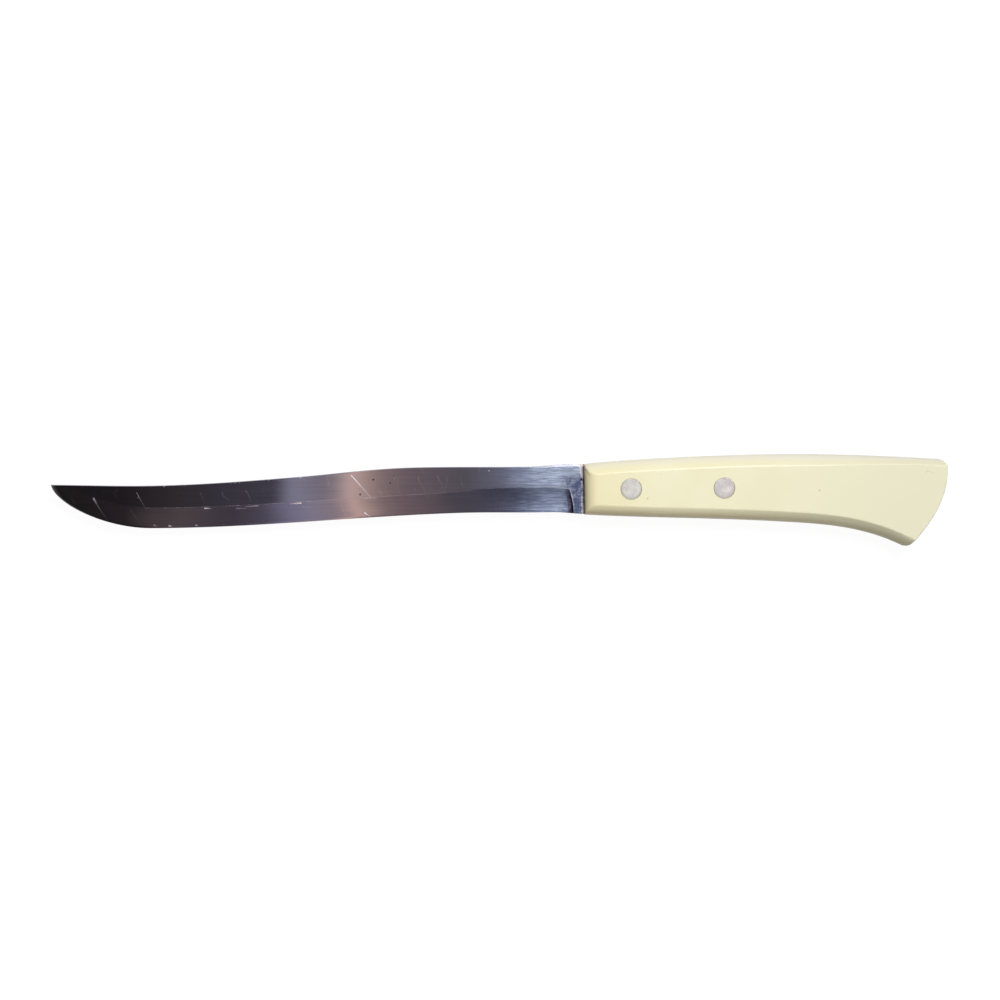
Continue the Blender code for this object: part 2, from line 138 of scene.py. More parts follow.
def closeAndMirror(piece):
    # in edit mode: the open rim goes down to the middle of the thickness, then the other side is made
    pick(piece, "EDGE", lambda edge: edge.is_boundary)
    bpy.ops.mesh.extrude_edges_move()
    bpy.ops.transform.resize(value=(1, 1, 0), center_override=(0, 0, middle))
    weld()
    bpy.ops.object.mode_set(mode="OBJECT")
    mirror = piece.modifiers.new("otherSide", "MIRROR")
    mirror.use_axis = (False, False, True)
    mirror.use_clip = True
    mirror.merge_threshold = 0.005 * mm
    bpy.ops.object.modifier_apply(modifier=mirror.name)
    bpy.ops.object.mode_set(mode="EDIT")
    weld()
    bpy.ops.object.mode_set(mode="OBJECT")


def settle(piece, nodes, angle):
    # place into the mesh, smooth shading, and the frame's bookkeeping
    selectOnly(piece)
    bpy.ops.object.transform_apply(location=True, rotation=True, scale=True)
    bpy.ops.object.shade_smooth_by_angle(angle=math.radians(angle))
    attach(piece, "root")
    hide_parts(*nodes)
    print(piece.name, len(piece.data.polygons), "faces")


# the blade: distances run from the handle's front towards the tip, heights from the rivet line

blade = {
    "length": 203.2 * mm,
    "heelGap": 0.06 * mm,
    "jointBack": (0.65 * mm, 0.3 * mm),
    "jointReach": (-9.7 * mm, 9.6 * mm),
    "ricassoEnds": 3.2 * mm,
    "thickness": 1.6 * mm,
    "tipThickness": 0.9 * mm,
    "tipTaper": 60 * mm,
    "thinsBelow": 6.0 * mm,
    "spineRound": 0.22 * mm,
    "spineBevel": (0.6 * mm, 0.10 * mm),
    "spineBevelFades": (11 * mm, 20 * mm),
    "leastFlat": 0.4 * mm,
    "edgeThickness": 0.16 * mm,
    "bevelHeight": 0.6 * mm,
    "bevelThickness": 0.4 * mm,
    "bellyLength": 38 * mm,
    "bellyHeight": -14.9 * mm,
    "bellyPull": 17.5 * mm,
    "tipPull": (1.8 * mm, 7.1 * mm),
    "tipHeight": 1.7 * mm,
    "tipBlunt": 0.3 * mm,
    "wheelRadius": 75 * mm,
    "grindWidth": 7.7 * mm,
    "grindWidthAtHeel": 9.4 * mm,
    "grindNarrows": (28 * mm, 58 * mm),
    "grindFades": (44 * mm, 20 * mm),
    "plungeAt": 3.6 * mm,
    "plungeWidth": 2.3 * mm,
    "plungeLean": 1.8 * mm,
    "leanFullBefore": 0.2 * mm,
    "leanGoneBy": 30 * mm,
    "plungeGlint": (0.1 * mm, 0.2 * mm),
    "tangLength": 67 * mm,
    "tangHeight": 12.5 * mm,
    "tangCorner": 4.5 * mm,
    "tangMiddle": 0.2 * mm,
    "bevelRows": (0.5, 0.9, 1.0),
    "flatRows": (0.96, 0.6, 0.3),
    "arrisRows": (0.6 * mm, 0.22 * mm),
    "arrisRowsFullAbove": 3 * mm,
    "hollowRows": 18,
    "edgeRow": 0.08 * mm,
    "edgeSwell": 0.02 * mm,
}
spineLine = [  # (distance, height, slope), as in the lines that follow
    (0.0, 9.5 * mm, 0.060),
    (22 * mm, 8.6 * mm, -0.015),
    (68 * mm, 8.2 * mm, -0.037),
    (110 * mm, 4.6 * mm, -0.080),
    (172.2 * mm, 1.3 * mm, 0.0),
    (203.2 * mm, 1.7 * mm, 0.006),
]
edgeLine = [
    (0.0, -9.5 * mm, 0.051),
    (12 * mm, -8.8 * mm, -0.024),
    (48 * mm, -9.1 * mm, -0.034),
    (165.2 * mm, -14.9 * mm, 0.0),
]


def jointBack(y):
    # how far the joint stands back from the handle's foremost line, more at the bottom
    low, high = blade["jointReach"]
    atLow, atHigh = blade["jointBack"]
    return atLow + (atHigh - atLow) * clamp((y - low) / (high - low))


def bellyPoint(t):
    # where the edge sweeps up to the tip
    start = Vector((blade["length"] - blade["bellyLength"], blade["bellyHeight"]))
    tip = Vector((blade["length"], blade["tipHeight"] - blade["tipBlunt"]))
    pulledBack = start + Vector((blade["bellyPull"], 0))
    pulledDown = tip - Vector(blade["tipPull"])
    s = 1 - t
    return start * s**3 + pulledBack * 3 * s * s * t + pulledDown * 3 * s * t * t + tip * t**3


def edgePoints():
    # where the sections stand along the cutting edge, close together where the hollow starts
    plunge = blade["plungeAt"]
    distances = [blade["heelGap"], 1.5 * mm, 3.0 * mm]
    distances += spread(plunge - 0.15 * mm, plunge + 0.3 * mm, 10)
    distances += spread(plunge + 0.36 * mm, plunge + blade["plungeWidth"], 20)
    distances += spread(plunge + blade["plungeWidth"] + 0.6 * mm, 60 * mm, 34)
    distances += spread(62 * mm, blade["length"] - blade["bellyLength"], 50)
    points = [Vector((d, smoothLine(edgeLine, d))) for d in distances]
    points += [bellyPoint(t) for t in spread(0.0, 1.0, 61)[1:]]
    return points


def leanAt(distance):
    # how far the top of a section leans towards the tip, as the plunge does
    fromPlunge = (blade["leanGoneBy"] - distance) / (blade["leanGoneBy"] - blade["plungeAt"])
    fullBy = blade["plungeAt"] - blade["leanFullBefore"]
    fromHeel = (distance - blade["heelGap"]) / (fullBy - blade["heelGap"])
    return blade["plungeLean"] * max(0.0, fromPlunge) * min(1.0, fromHeel)


def halfThickness(distance, height):
    # the steel thins towards the tip and where the blade is low
    taper = max(0.0, 1 - (blade["length"] - distance) / blade["tipTaper"])
    half = (blade["thickness"] + (blade["tipThickness"] - blade["thickness"]) * taper) / 2
    thinning = math.sin(math.pi / 2 * min(1.0, height / blade["thinsBelow"]))
    return blade["edgeThickness"] + (half - blade["edgeThickness"]) * thinning


def hollowWidth(distance, slope, room):
    # measured square to the edge, and never more than there is room for
    width = blade["grindWidthAtHeel"]
    width += (blade["grindWidth"] - width) * ease(distance, *blade["grindNarrows"])
    return min(width * math.sqrt(1 + slope * slope), room)


def bladeSide(distance, edge, slope):
    # corners down one side, from the spine to the cutting edge: x, y, z, painted glints, painted plunge
    # shade, nicks
    lean = leanAt(distance)
    spine = smoothLine(spineLine, distance + lean)
    height = spine - edge
    half = halfThickness(distance, height)
    rounding = min(blade["spineRound"], height / 6)
    width = hollowWidth(distance, slope, height - rounding - min(blade["leastFlat"], height / 6))
    bevel = min(blade["bevelHeight"], height / 4)
    out = clamp(1 - (distance - blade["plungeAt"]) / blade["plungeWidth"])
    depth = math.sqrt(1 - out * out)
    drop = half - min(blade["bevelThickness"] / 2, half)
    fading = ease(distance, *(blade["length"] - before for before in blade["grindFades"]))
    bevelWide, bevelDrop = blade["spineBevel"]
    bevelDrop *= 1 - ease(distance, *blade["spineBevelFades"])
    side = []

    # the rounded spine, the bevel under it and the flat
    for turn in spread(0.0, math.pi / 2, 5):
        y = spine - rounding * (1 - math.cos(turn))
        z = half - bevelDrop - rounding * (1 - math.sin(turn))
        side.append((distance + lean, y, z, 0.0, 0.0))
    grindLine = edge + width
    flatHeight = spine - rounding - grindLine
    under = min(bevelWide, flatHeight / 4)
    for share in blade["bevelRows"]:
        z = half - bevelDrop * (1 - share)
        side.append((distance + lean, spine - rounding - under * share, z, 0.0, 0.0))
    flatHeight -= under
    for share in blade["flatRows"]:
        side.append((distance + lean, grindLine + share * flatHeight, half, 0.0, 0.0))
    for up in blade["arrisRows"]:
        y = grindLine + min(up, flatHeight * up / blade["arrisRowsFullAbove"])
        side.append((distance + lean, y, half, 0.0, 0.0))

    # the hollow, as deep as the wheel's radius makes it, then the edge
    glintBack, glintReach = blade["plungeGlint"]
    onPlunge = max(0.0, 1 - abs(distance - blade["plungeAt"] + glintBack) / glintReach)
    # painted shade: the plunge's curved wall darkened, most where the hollow starts
    plungeShade = out * out if depth > 0 else 0.0
    for share in [0.0, 0.02] + spread(0.06, 1.0, blade["hollowRows"]):
        along = distance + lean * (1 - share) ** 2
        across = edge + width + (bevel - width) * share
        arc = drop * share + width**2 / (2 * blade["wheelRadius"]) * share * (1 - share)
        plain = drop * share**1.5
        # painted glints: on the grind line where the hollow isn't faded, and along the plunge's rim
        glintRows = onPlunge if share > 0 else max(onPlunge, (1 - fading) * (depth > 0))
        z = half - depth * (arc + (plain - arc) * fading)
        side.append((along, across, z, glintRows, plungeShade * min(1.0, share * 3)))
    edgeHalf = half + depth * (blade["edgeThickness"] / 2 - half)
    near = blade["edgeRow"] * min(1.0, height / blade["thinsBelow"])
    # the edge's two rows get a weaker painted glint
    side.append((distance, edge + near, edgeHalf + blade["edgeSwell"] * depth, 0.4, plungeShade))
    side.append((distance, edge, edgeHalf * 0.6, 0.4, plungeShade))
    nicked = [0.3] * 4 + [1.0, 1.0, 0.7] + [0.0] * (len(side) - 10) + [0.6, 1.0, 0.3]
    placed = []
    for (x, y, z, *masks), nick in zip(side, nicked):
        back = jointBack(y) * (1 - ease(x, 0.0, blade["ricassoEnds"]))
        placed.append((handleFront - x + back, rivetLine + y, z, *masks, nick))
    return placed


def makeBlade():
    points = edgePoints()
    sections = []
    for i, point in enumerate(points):
        run = points[min(i + 1, len(points) - 1)] - points[max(i - 1, 0)]
        sections.append(bladeSide(point.x, point.y, run.y / run.x))
    # masks: painted glints, painted plunge shade, nicks
    piece = layGrid("bladeWithTang", sections, ("glintLineMask", "plungeShadeMask", "nickZone"))
    bpy.ops.object.mode_set(mode="EDIT")
    heel = handleFront - blade["heelGap"] - 0.01 * mm
    halfHeight = blade["tangHeight"] / 2
    tangLine = rivetLine + blade["tangMiddle"]

    def atTangRoot(edge):
        return all(v.co.x > heel and abs(v.co.y - tangLine) <= halfHeight for v in edge.verts)

    pick(piece, "EDGE", atTangRoot)
    corner = blade["tangCorner"]
    straight = blade["tangLength"] - corner + blade["heelGap"]
    bpy.ops.mesh.extrude_edges_move(TRANSFORM_OT_translate={"value": (straight, 0, 0)})
    turns = spread(0.0, math.pi / 2, 7)
    last = halfHeight
    for before, turn in zip(turns, turns[1:]):
        step = corner * (math.sin(turn) - math.sin(before))
        bpy.ops.mesh.extrude_edges_move(TRANSFORM_OT_translate={"value": (step, 0, 0)})
        now = halfHeight - corner * (1 - math.cos(turn))
        bpy.ops.transform.resize(value=(1, now / last, 1), center_override=(0, tangLine, middle))
        last = now
    closeAndMirror(piece)
    settle(piece, ["blade"], 34)
    return piece


bladePiece = makeBlade()


# the handle: distances run from the handle's front towards the butt, heights from the rivet line

handle = {
    "length": 138.29 * mm,
    "thickness": 15.0 * mm,
    "topCorner": 3.4 * mm,
    "toeCorner": 1.8 * mm,
    "topFacetDepth": 3.8 * mm,
    "bottomFacetDepth": (4.3 * mm, 4.95 * mm),
    "bottomFacetChanges": (30 * mm, 100 * mm),
    "frontFacetDepth": 3.2 * mm,
    "topFacet": 4.4 * mm,
    "topFacetAtButt": 2.4 * mm,
    "topFacetTapers": 80 * mm,
    "bottomFacet": 3.8 * mm,
    "frontFacet": 4.2 * mm,
    "topBow": 0.28,
    "bottomBow": (0.53, 0.34),
    "frontBow": 0.72,
    "facetRounds": (0.24 * mm, 0.16 * mm, 0.2 * mm),
    "lineReach": 0.9 * mm,
    "edgeRound": 0.8 * mm,
    "edgeSteepness": 1.1,
    "buttSharpness": 2.5,
    "frontEdge": 0.25 * mm,
    "leastRow": 0.2 * mm,
    "tiltGoneBy": 60 * mm,
    "jointBackGoneBy": 13.9 * mm,
    "slotHeight": 13.1 * mm,
    "slotThickness": 2.2 * mm,
    "slotLength": 67.6 * mm,
}
handleTopLine = [
    (0.0, 9.6 * mm, 0.110),
    (20 * mm, 11.2 * mm, 0.062),
    (75 * mm, 13.349 * mm, 0.010),
    (138.3 * mm, 11.3 * mm, -0.065),
]
handleBottomLine = [
    (0.0, -9.7 * mm, -0.050),
    (75 * mm, -12.3 * mm, -0.055),
    (121.8 * mm, -21.35 * mm, -0.485),
]
buttLine = [  # (height, distance, slope)
    (-21.0 * mm, 124.5 * mm, 0.95),
    (7.0 * mm, 138.24 * mm, 0.0),
]
edgeRows = (0, 0.06, 0.16, 0.3, 0.48, 0.7, 1.0)  # corners over a rounded edge, from outside in


def outlineGaps(x, y):
    # how far a point lies inside the top, the bottom and the butt, roughly square to each
    step = 0.1 * mm
    gaps = []
    for line, sign, at, reach in (
        (handleTopLine, 1, x, y),
        (handleBottomLine, -1, x, y),
        (buttLine, 1, y, x),
    ):
        value = smoothLine(line, at)
        slope = (smoothLine(line, at + step) - value) / step
        gaps.append(sign * (value - reach) / math.sqrt(1 + slope * slope))
    return gaps


def outlineGap(x, y, buttSharpness=1.0):
    # the least of them, with the two corners at the butt rounded; negative outside
    top, bottom, butt = outlineGaps(x, y)
    butt *= buttSharpness
    gap = min(top, bottom, butt)
    for side, radius in ((top, handle["topCorner"]), (bottom, handle["toeCorner"])):
        if side < radius and butt < radius:
            gap = min(gap, radius - math.hypot(radius - side, radius - butt))
    return gap


def topFacetWidth(x):
    taper = ease(x, handle["topFacetTapers"], handle["length"])
    return handle["topFacet"] + (handle["topFacetAtButt"] - handle["topFacet"]) * taper


def facetShares(x, y):
    # 0 at a facet's inner line and 1 at its outer edge, for the top, the bottom and the front
    return (
        (y - smoothLine(handleTopLine, x)) / topFacetWidth(x) + 1,
        (smoothLine(handleBottomLine, x) - y) / handle["bottomFacet"] + 1,
        1 - x / handle["frontFacet"],
    )


def handleLevel(x, y, gap):
    # half of the thickness at a point seen from above; a facet falls more and more steeply
    back = ease(x, *handle["bottomFacetChanges"])
    lowDepth, lowBow = (
        fore + (aft - fore) * back for fore, aft in (handle["bottomFacetDepth"], handle["bottomBow"])
    )
    depths = (handle["topFacetDepth"], lowDepth, handle["frontFacetDepth"])
    bows = (handle["topBow"], lowBow, handle["frontBow"])
    fallen = 0.0
    for share, depth, bow, rounding in zip(facetShares(x, y), depths, bows, handle["facetRounds"]):
        fall = depth * (share * (1 - bow) + bow * max(0.0, share) ** 3)
        overlap = max(0.0, rounding - abs(fallen - fall))
        fallen = max(fallen, fall) + overlap**2 / (4 * rounding)
    nearEdge = max(0.0, 1 - gap / handle["edgeRound"])
    return handle["thickness"] / 2 - fallen - handle["edgeSteepness"] * handle["edgeRound"] * nearEdge**2


def sectionX(back, y):
    # sections lean with the butt near it and stand square further forward
    tilt = 1 - ease(back, 0.0, handle["tiltGoneBy"])
    return handle["length"] - back - tilt * (handle["length"] - smoothLine(buttLine, y))


def reachOf(back, direction):
    # how far up or down a section reaches; the last one lies on the butt line itself
    inside = 0.0
    outside = direction * 40 * mm  # further than the handle reaches anywhere
    for _ in range(40):
        y = (inside + outside) / 2
        if outlineGap(sectionX(back, y), y) > -0.0001 * mm:
            inside = y
        else:
            outside = y
    return inside


def handleSection(back):
    # corners up one side, so far forward of the butt: x, y, z, top facet, bottom facet
    low = reachOf(back, -1)
    high = reachOf(back, 1)
    rounding = handle["edgeRound"]
    soft = handle["lineReach"]
    nearest = rounding + soft + handle["leastRow"]
    atLow = sectionX(back, low)
    atHigh = sectionX(back, high)
    bottomInner = max(smoothLine(handleBottomLine, atLow) + handle["bottomFacet"], low + nearest)
    topInner = min(smoothLine(handleTopLine, atHigh) - topFacetWidth(atHigh), high - nearest)
    rows = [low + rounding * share for share in edgeRows]
    rows += follow(
        low + rounding,
        (bottomInner - soft, 4),
        (bottomInner + soft, 10),
        (topInner - soft, 11),
        (topInner + soft, 10),
        (high - rounding, 4),
    )
    rows += [high - rounding * share for share in edgeRows[-2::-1]]
    section = []
    for y in rows:
        x = sectionX(back, y)
        gap = min(outlineGap(x, y, handle["buttSharpness"]), x + handle["frontEdge"])
        top, bottom, front = (clamp(share) for share in facetShares(x, y))
        level = handleLevel(x, y, gap)
        x += jointBack(y) * (1 - ease(x, 0.0, handle["jointBackGoneBy"]))
        section.append((handleFront + x, rivetLine + y, level, top, max(0.0, bottom - 0.5 * front)))
    return section


def makeHandle():
    # sections from the front back to the butt, closer at both ends and over the front facet's line
    length = handle["length"]
    rounding = handle["edgeRound"]
    frontLine = length - handle["frontFacet"]
    backs = [length - rounding * share for share in edgeRows]
    backs += follow(
        length - rounding,
        (frontLine + 0.6 * mm, 13),
        (frontLine - 0.6 * mm, 9),
        (6 * mm, 83),
        (rounding, 15),
    )
    backs += [rounding * share for share in edgeRows[-2::-1]]
    piece = layGrid("handleBody", [handleSection(back) for back in backs], ("topFacet", "bottomFacet"))
    bpy.ops.object.mode_set(mode="EDIT")
    closeAndMirror(piece)
    return piece


def cutAway(piece, cutter):
    cut = piece.modifiers.new("cut", "BOOLEAN")
    cut.operation = "DIFFERENCE"
    cut.solver = "MANIFOLD"  # EXACT now and then leaves a skin of plastic over a rivet
    cut.object = cutter
    selectOnly(piece)
    bpy.ops.object.modifier_apply(modifier=cut.name)
    bpy.data.objects.remove(cutter)


rivet = {
    "places": {"front": (18.1 * mm, 0.0), "rear": (53.4 * mm, 0.4 * mm)},
    "radius": 4.0 * mm,
    "headThickness": 1.4 * mm,
    "recess": 0.1 * mm,
    "holeClearance": 0.04 * mm,
    "shaftClearance": 0.3 * mm,
    "shaftOverlap": 1.2 * mm,
    "rimRound": 0.12 * mm,
    "rimInset": 0.04 * mm,
    "rings": 5,
    "ringInset": 0.62 * mm,
    "dish": 0.012 * mm,
    "tubeRadius": 2.5 * mm,
    "tubeShort": 0.7 * mm,
    "boreRadius": 1.7 * mm,
    "boreFloor": 1.0 * mm,
    "pinRadius": 1.4 * mm,
    "pinShort": 3.6 * mm,
    "sides": 96,
}


def bareCylinder(radius, depth, place):
    bpy.ops.object.select_all(action="DESELECT")
    sides = rivet["sides"]
    bpy.ops.mesh.primitive_cylinder_add(vertices=sides, radius=radius, depth=depth, location=place)
    return bpy.context.object


# the handle's holes: a recess on each side for the rivets' heads, a shaft between, and the tang's slot
handlePiece = makeHandle()
for across, up in rivet["places"].values():
    x = handleFront + across
    y = rivetLine + up
    holeRadius = rivet["radius"] + rivet["holeClearance"]
    holeDepth = 2 * (rivet["headThickness"] + rivet["recess"])
    for z in (0.0, handle["thickness"]):
        cutAway(handlePiece, bareCylinder(holeRadius, holeDepth, (x, y, z)))
    shaftRadius = rivet["tubeRadius"] + rivet["shaftClearance"]
    shaftLength = handle["thickness"] - holeDepth + rivet["shaftOverlap"]
    cutAway(handlePiece, bareCylinder(shaftRadius, shaftLength, (x, y, middle)))
bpy.ops.object.select_all(action="DESELECT")
bpy.ops.mesh.primitive_cube_add(
    size=1.0,
    location=(handleFront, rivetLine + blade["tangMiddle"], middle),
    scale=(2 * handle["slotLength"], handle["slotHeight"], handle["slotThickness"]),
)
cutAway(handlePiece, bpy.context.object)
settle(handlePiece, ["handle"], 32)


def makeRivetHalf(faceUp, shankRadius, shankLength, bore):
    # a head with its shank towards the other half, at the front rivet's place
    side = 1 if faceUp else -1
    across, up = rivet["places"]["front"]
    face = handle["thickness"] - rivet["recess"] if faceUp else rivet["recess"]
    centre = (handleFront + across, rivetLine + up, face - side * rivet["headThickness"] / 2)
    piece = bareCylinder(rivet["radius"], rivet["headThickness"], centre)
    bpy.ops.object.mode_set(mode="EDIT")
    outward = Vector((0, 0, side))
    pick(piece, "FACE", lambda f: f.normal.dot(outward) > 0.9)
    bpy.ops.mesh.bevel(offset=rivet["rimRound"], segments=4, affect="EDGES")
    pick(piece, "FACE", lambda f: f.normal.dot(outward) > 0.999)
    bpy.ops.mesh.inset(thickness=rivet["rimInset"])
    rings = rivet["rings"]
    for ring in range(1, rings + 1):
        dip = rivet["dish"] * (1 - ring / rings) / rings
        bpy.ops.mesh.inset(thickness=rivet["ringInset"])
        bpy.ops.transform.translate(value=(0, 0, -side * dip))
    pick(piece, "FACE", lambda f: f.normal.dot(outward) < -0.9)
    bpy.ops.mesh.inset(thickness=rivet["radius"] - shankRadius)
    bpy.ops.mesh.extrude_region_move(TRANSFORM_OT_translate={"value": (0, 0, -side * shankLength)})
    if bore:
        boreLength = shankLength - rivet["boreFloor"]
        bpy.ops.mesh.inset(thickness=shankRadius - bore)
        bpy.ops.mesh.extrude_region_move(TRANSFORM_OT_translate={"value": (0, 0, side * boreLength)})
    bpy.ops.mesh.select_all(action="SELECT")
    bpy.ops.mesh.normals_make_consistent(inside=False)
    bpy.ops.object.mode_set(mode="OBJECT")
    return piece


def copyToRear(half):
    # the same half with a mesh of its own
    selectOnly(half)
    bpy.ops.object.duplicate(linked=False)
    copy = bpy.context.object
    (x0, y0), (x1, y1) = rivet["places"].values()
    copy.location += Vector((x1 - x0, y1 - y0, 0))
    return copy


pinShank = handle["thickness"] - rivet["pinShort"] - rivet["headThickness"]
tubeShank = handle["thickness"] - 2 * rivet["headThickness"] - rivet["tubeShort"]
pinHalf = makeRivetHalf(True, rivet["pinRadius"], pinShank, None)
tubeHalf = makeRivetHalf(False, rivet["tubeRadius"], tubeShank, rivet["boreRadius"])
rivetPieces = {
    "frontRivetPin": pinHalf,
    "frontRivetTube": tubeHalf,
    "rearRivetPin": copyToRear(pinHalf),
    "rearRivetTube": copyToRear(tubeHalf),
}
for name, piece in rivetPieces.items():
    piece.name = name
    piece.data.name = name
    settle(piece, [name.replace("Rivet", "_rivet_").lower()], 32)


# helpers for material nodes

def fill(tree, made, inputs):
    # what comes from another node is linked, and a plain value is set on the input itself
    for name, value in inputs.items():
        if isinstance(value, bpy.types.NodeSocket):
            tree.links.new(value, made.inputs[name])
        else:
            made.inputs[name].default_value = value


def addNode(tree, kind, inputs=None, **settings):
    made = tree.nodes.new("ShaderNode" + kind)
    for name, value in settings.items():
        setattr(made, name, value)
    fill(tree, made, inputs or {})
    return made


def sums(tree, operation, *values):
    # one Math node after another over the values
    total = values[0]
    for value in values[1:]:
        total = addNode(tree, "Math", {0: total, 1: value}, operation=operation).outputs[0]
    return total


def plus(tree, *values):
    return sums(tree, "ADD", *values)


def times(tree, *values):
    return sums(tree, "MULTIPLY", *values)


def strongest(tree, *values):
    return sums(tree, "MAXIMUM", *values)


def offBy(tree, value, place):
    # how far a value lies from a place, to either side
    return sums(tree, "ABSOLUTE", sums(tree, "SUBTRACT", value, place), 0.0)


def vectors(tree, operation, first, second):
    # one Vector Math node; distances and dot products come out as a number
    slot = "Scale" if operation == "SCALE" else 1
    made = addNode(tree, "VectorMath", {0: first, slot: second}, operation=operation)
    return made.outputs["Value" if operation in ("DISTANCE", "DOT_PRODUCT") else "Vector"]


def ramp(tree, value, low, high, toLow=0.0, toHigh=1.0):
    # from one value to another between low and high, eased at both ends
    inputs = {"Value": value, "From Min": low, "From Max": high, "To Min": toLow, "To Max": toHigh}
    return addNode(tree, "MapRange", inputs, interpolation_type="SMOOTHSTEP").outputs["Result"]


def blendColours(tree, share, first, second, mode="MIX"):
    first, second = (c if isinstance(c, bpy.types.NodeSocket) else (*c, 1.0) for c in (first, second))
    inputs = {0: share, 6: first, 7: second}
    return addNode(tree, "Mix", inputs, data_type="RGBA", blend_type=mode).outputs[2]


def newGroup(name, inputs, output):
    # the group, what it is given, and the socket for what it puts out
    group = bpy.data.node_groups.new(name, "ShaderNodeTree")
    vectorInputs = ("place", "from", "to", "centre")
    for label, value in inputs.items():
        kind = "NodeSocketVector" if label in vectorInputs else "NodeSocketFloat"
        socket = group.interface.new_socket(label, in_out="INPUT", socket_type=kind)
        if value is not None:
            socket.default_value = value
    group.interface.new_socket(output, in_out="OUTPUT", socket_type="NodeSocketFloat")
    given = group.nodes.new("NodeGroupInput").outputs
    return group, given, group.nodes.new("NodeGroupOutput").inputs[0]


def useGroup(tree, group, inputs):
    made = addNode(tree, "Group", node_tree=group)
    fill(tree, made, inputs)
    return made.outputs[0]


def makeStretchedNoise():
    # noise drawn out along a direction, for brush marks, hairlines and scuffs
    inputs = {"place": None, "turn": 0.0, "along": 40.0, "across": 1000.0, "detail": 3.0}
    group, given, result = newGroup("stretchedNoise", inputs, "amount")
    turning = {"Vector": given["place"], "Angle": given["turn"]}
    turned = addNode(group, "VectorRotate", turning, rotation_type="Z_AXIS").outputs["Vector"]
    sizes = addNode(group, "CombineXYZ", {0: given["along"], 1: given["across"], 2: given["along"]})
    drawn = vectors(group, "MULTIPLY", turned, sizes.outputs[0])
    grain = {"Vector": drawn, "Scale": 1.0, "Detail": given["detail"], "Roughness": 0.6}
    group.links.new(addNode(group, "TexNoise", grain).outputs["Fac"], result)
    return group


def makeCloud():
    # soft noise, for stains, mottles and grain
    group, given, result = newGroup("cloud", {"place": None, "scale": 50.0, "detail": 3.0}, "amount")
    grain = {"Vector": given["place"], "Scale": given["scale"], "Detail": given["detail"]}
    group.links.new(addNode(group, "TexNoise", grain).outputs["Fac"], result)
    return group


def makeScratchMark():
    # 1 at the first of two points of the side, fading along the line to the other, 0 elsewhere
    inputs = {"place": None, "from": (0, 0, 0), "to": (0, 0, 0), "width": 0.3 * mm, "ragged": 0.5}
    group, given, result = newGroup("scratchMark", inputs, "mark")
    flat = vectors(group, "MULTIPLY", given["place"], (1, 1, 0))
    line = vectors(group, "SUBTRACT", given["to"], given["from"])
    offset = vectors(group, "SUBTRACT", flat, given["from"])
    reach = vectors(group, "DOT_PRODUCT", offset, line)
    square = vectors(group, "DOT_PRODUCT", line, line)
    share = addNode(group, "Math", {0: reach, 1: square}, operation="DIVIDE", use_clamp=True).outputs[0]
    nearest = vectors(group, "SCALE", line, share)
    away = vectors(group, "DISTANCE", offset, nearest)
    noise = addNode(group, "TexNoise", {"Vector": given["place"], "Scale": 1100.0, "Detail": 2.0})
    left = addNode(group, "Math", {0: share, 1: -0.55, 2: 1.0}, operation="MULTIPLY_ADD")
    thinner = times(group, noise.outputs["Fac"], given["ragged"])
    width = times(group, given["width"], sums(group, "SUBTRACT", 1.0, thinner))
    mark = ramp(group, away, times(group, width, 0.3), width, 1.0, 0.0)
    group.links.new(times(group, mark, left.outputs[0]), result)
    return group


def makeRingMark():
    # 1 on a ring round a point of the side, 0 elsewhere
    inputs = {"place": None, "centre": (0, 0, 0), "radius": 4 * mm, "width": 0.3 * mm}
    group, given, result = newGroup("ringMark", inputs, "mark")
    flat = vectors(group, "MULTIPLY", given["place"], (1, 1, 0))
    away = vectors(group, "DISTANCE", flat, given["centre"])
    off = offBy(group, away, given["radius"])
    group.links.new(ramp(group, off, 0.0, given["width"], 1.0, 0.0), result)
    return group


stretchedNoise = makeStretchedNoise()
cloud = makeCloud()
scratchMark = makeScratchMark()
ringMark = makeRingMark()


def newMaterial(name):
    # the material, its tree and shader, the place on the object, and that place's X, Y and Z
    material = bpy.data.materials.new(name)
    material.use_nodes = True
    tree = material.node_tree
    place = tree.nodes.new("ShaderNodeTexCoord").outputs["Object"]
    parts = addNode(tree, "SeparateXYZ", {0: place}).outputs
    return material, tree, tree.nodes["Principled BSDF"], place, parts


def finishSurface(tree, shader, colour, rough, height, relief):
    strength, depth = relief
    bump = addNode(tree, "Bump", {"Strength": strength, "Distance": depth, "Height": height})
    fill(tree, shader, {"Base Color": colour, "Roughness": rough, "Normal": bump.outputs[0]})


def maskOf(tree, name):
    return addNode(tree, "Attribute", attribute_name=name).outputs["Fac"]


def cloudOver(tree, place, scale, detail):
    return useGroup(tree, cloud, {"place": place, "scale": scale, "detail": detail})


def drawnOut(tree, place, grain):
    return useGroup(tree, stretchedNoise, {"place": place, **grain})


def fromJointLine(tree, parts):
    # how far along X a place lies past the leaning joint line
    low, high = (rivetLine + y for y in blade["jointReach"])
    atLow, atHigh = (handleFront + back for back in blade["jointBack"])
    inputs = {"Value": parts["Y"], "From Min": low, "From Max": high, "To Min": atLow, "To Max": atHigh}
    return sums(tree, "SUBTRACT", parts["X"], addNode(tree, "MapRange", inputs).outputs[0])


def drawRings(tree, place, radius, width):
    # a ring round each rivet
    drawn = []
    for across, up in rivet["places"].values():
        centre = (handleFront + across, rivetLine + up, 0)
        inputs = {"place": place, "centre": centre, "radius": radius, "width": width}
        drawn.append(useGroup(tree, ringMark, inputs))
    return strongest(tree, *drawn)


def besideRivets(tree, alongY):
    # dirt gathers left and right of the rivets, and less above and below them
    return ramp(tree, offBy(tree, alongY, rivetLine + 0.2 * mm), 1.6 * mm, 3.8 * mm, 1.0, 0.15)


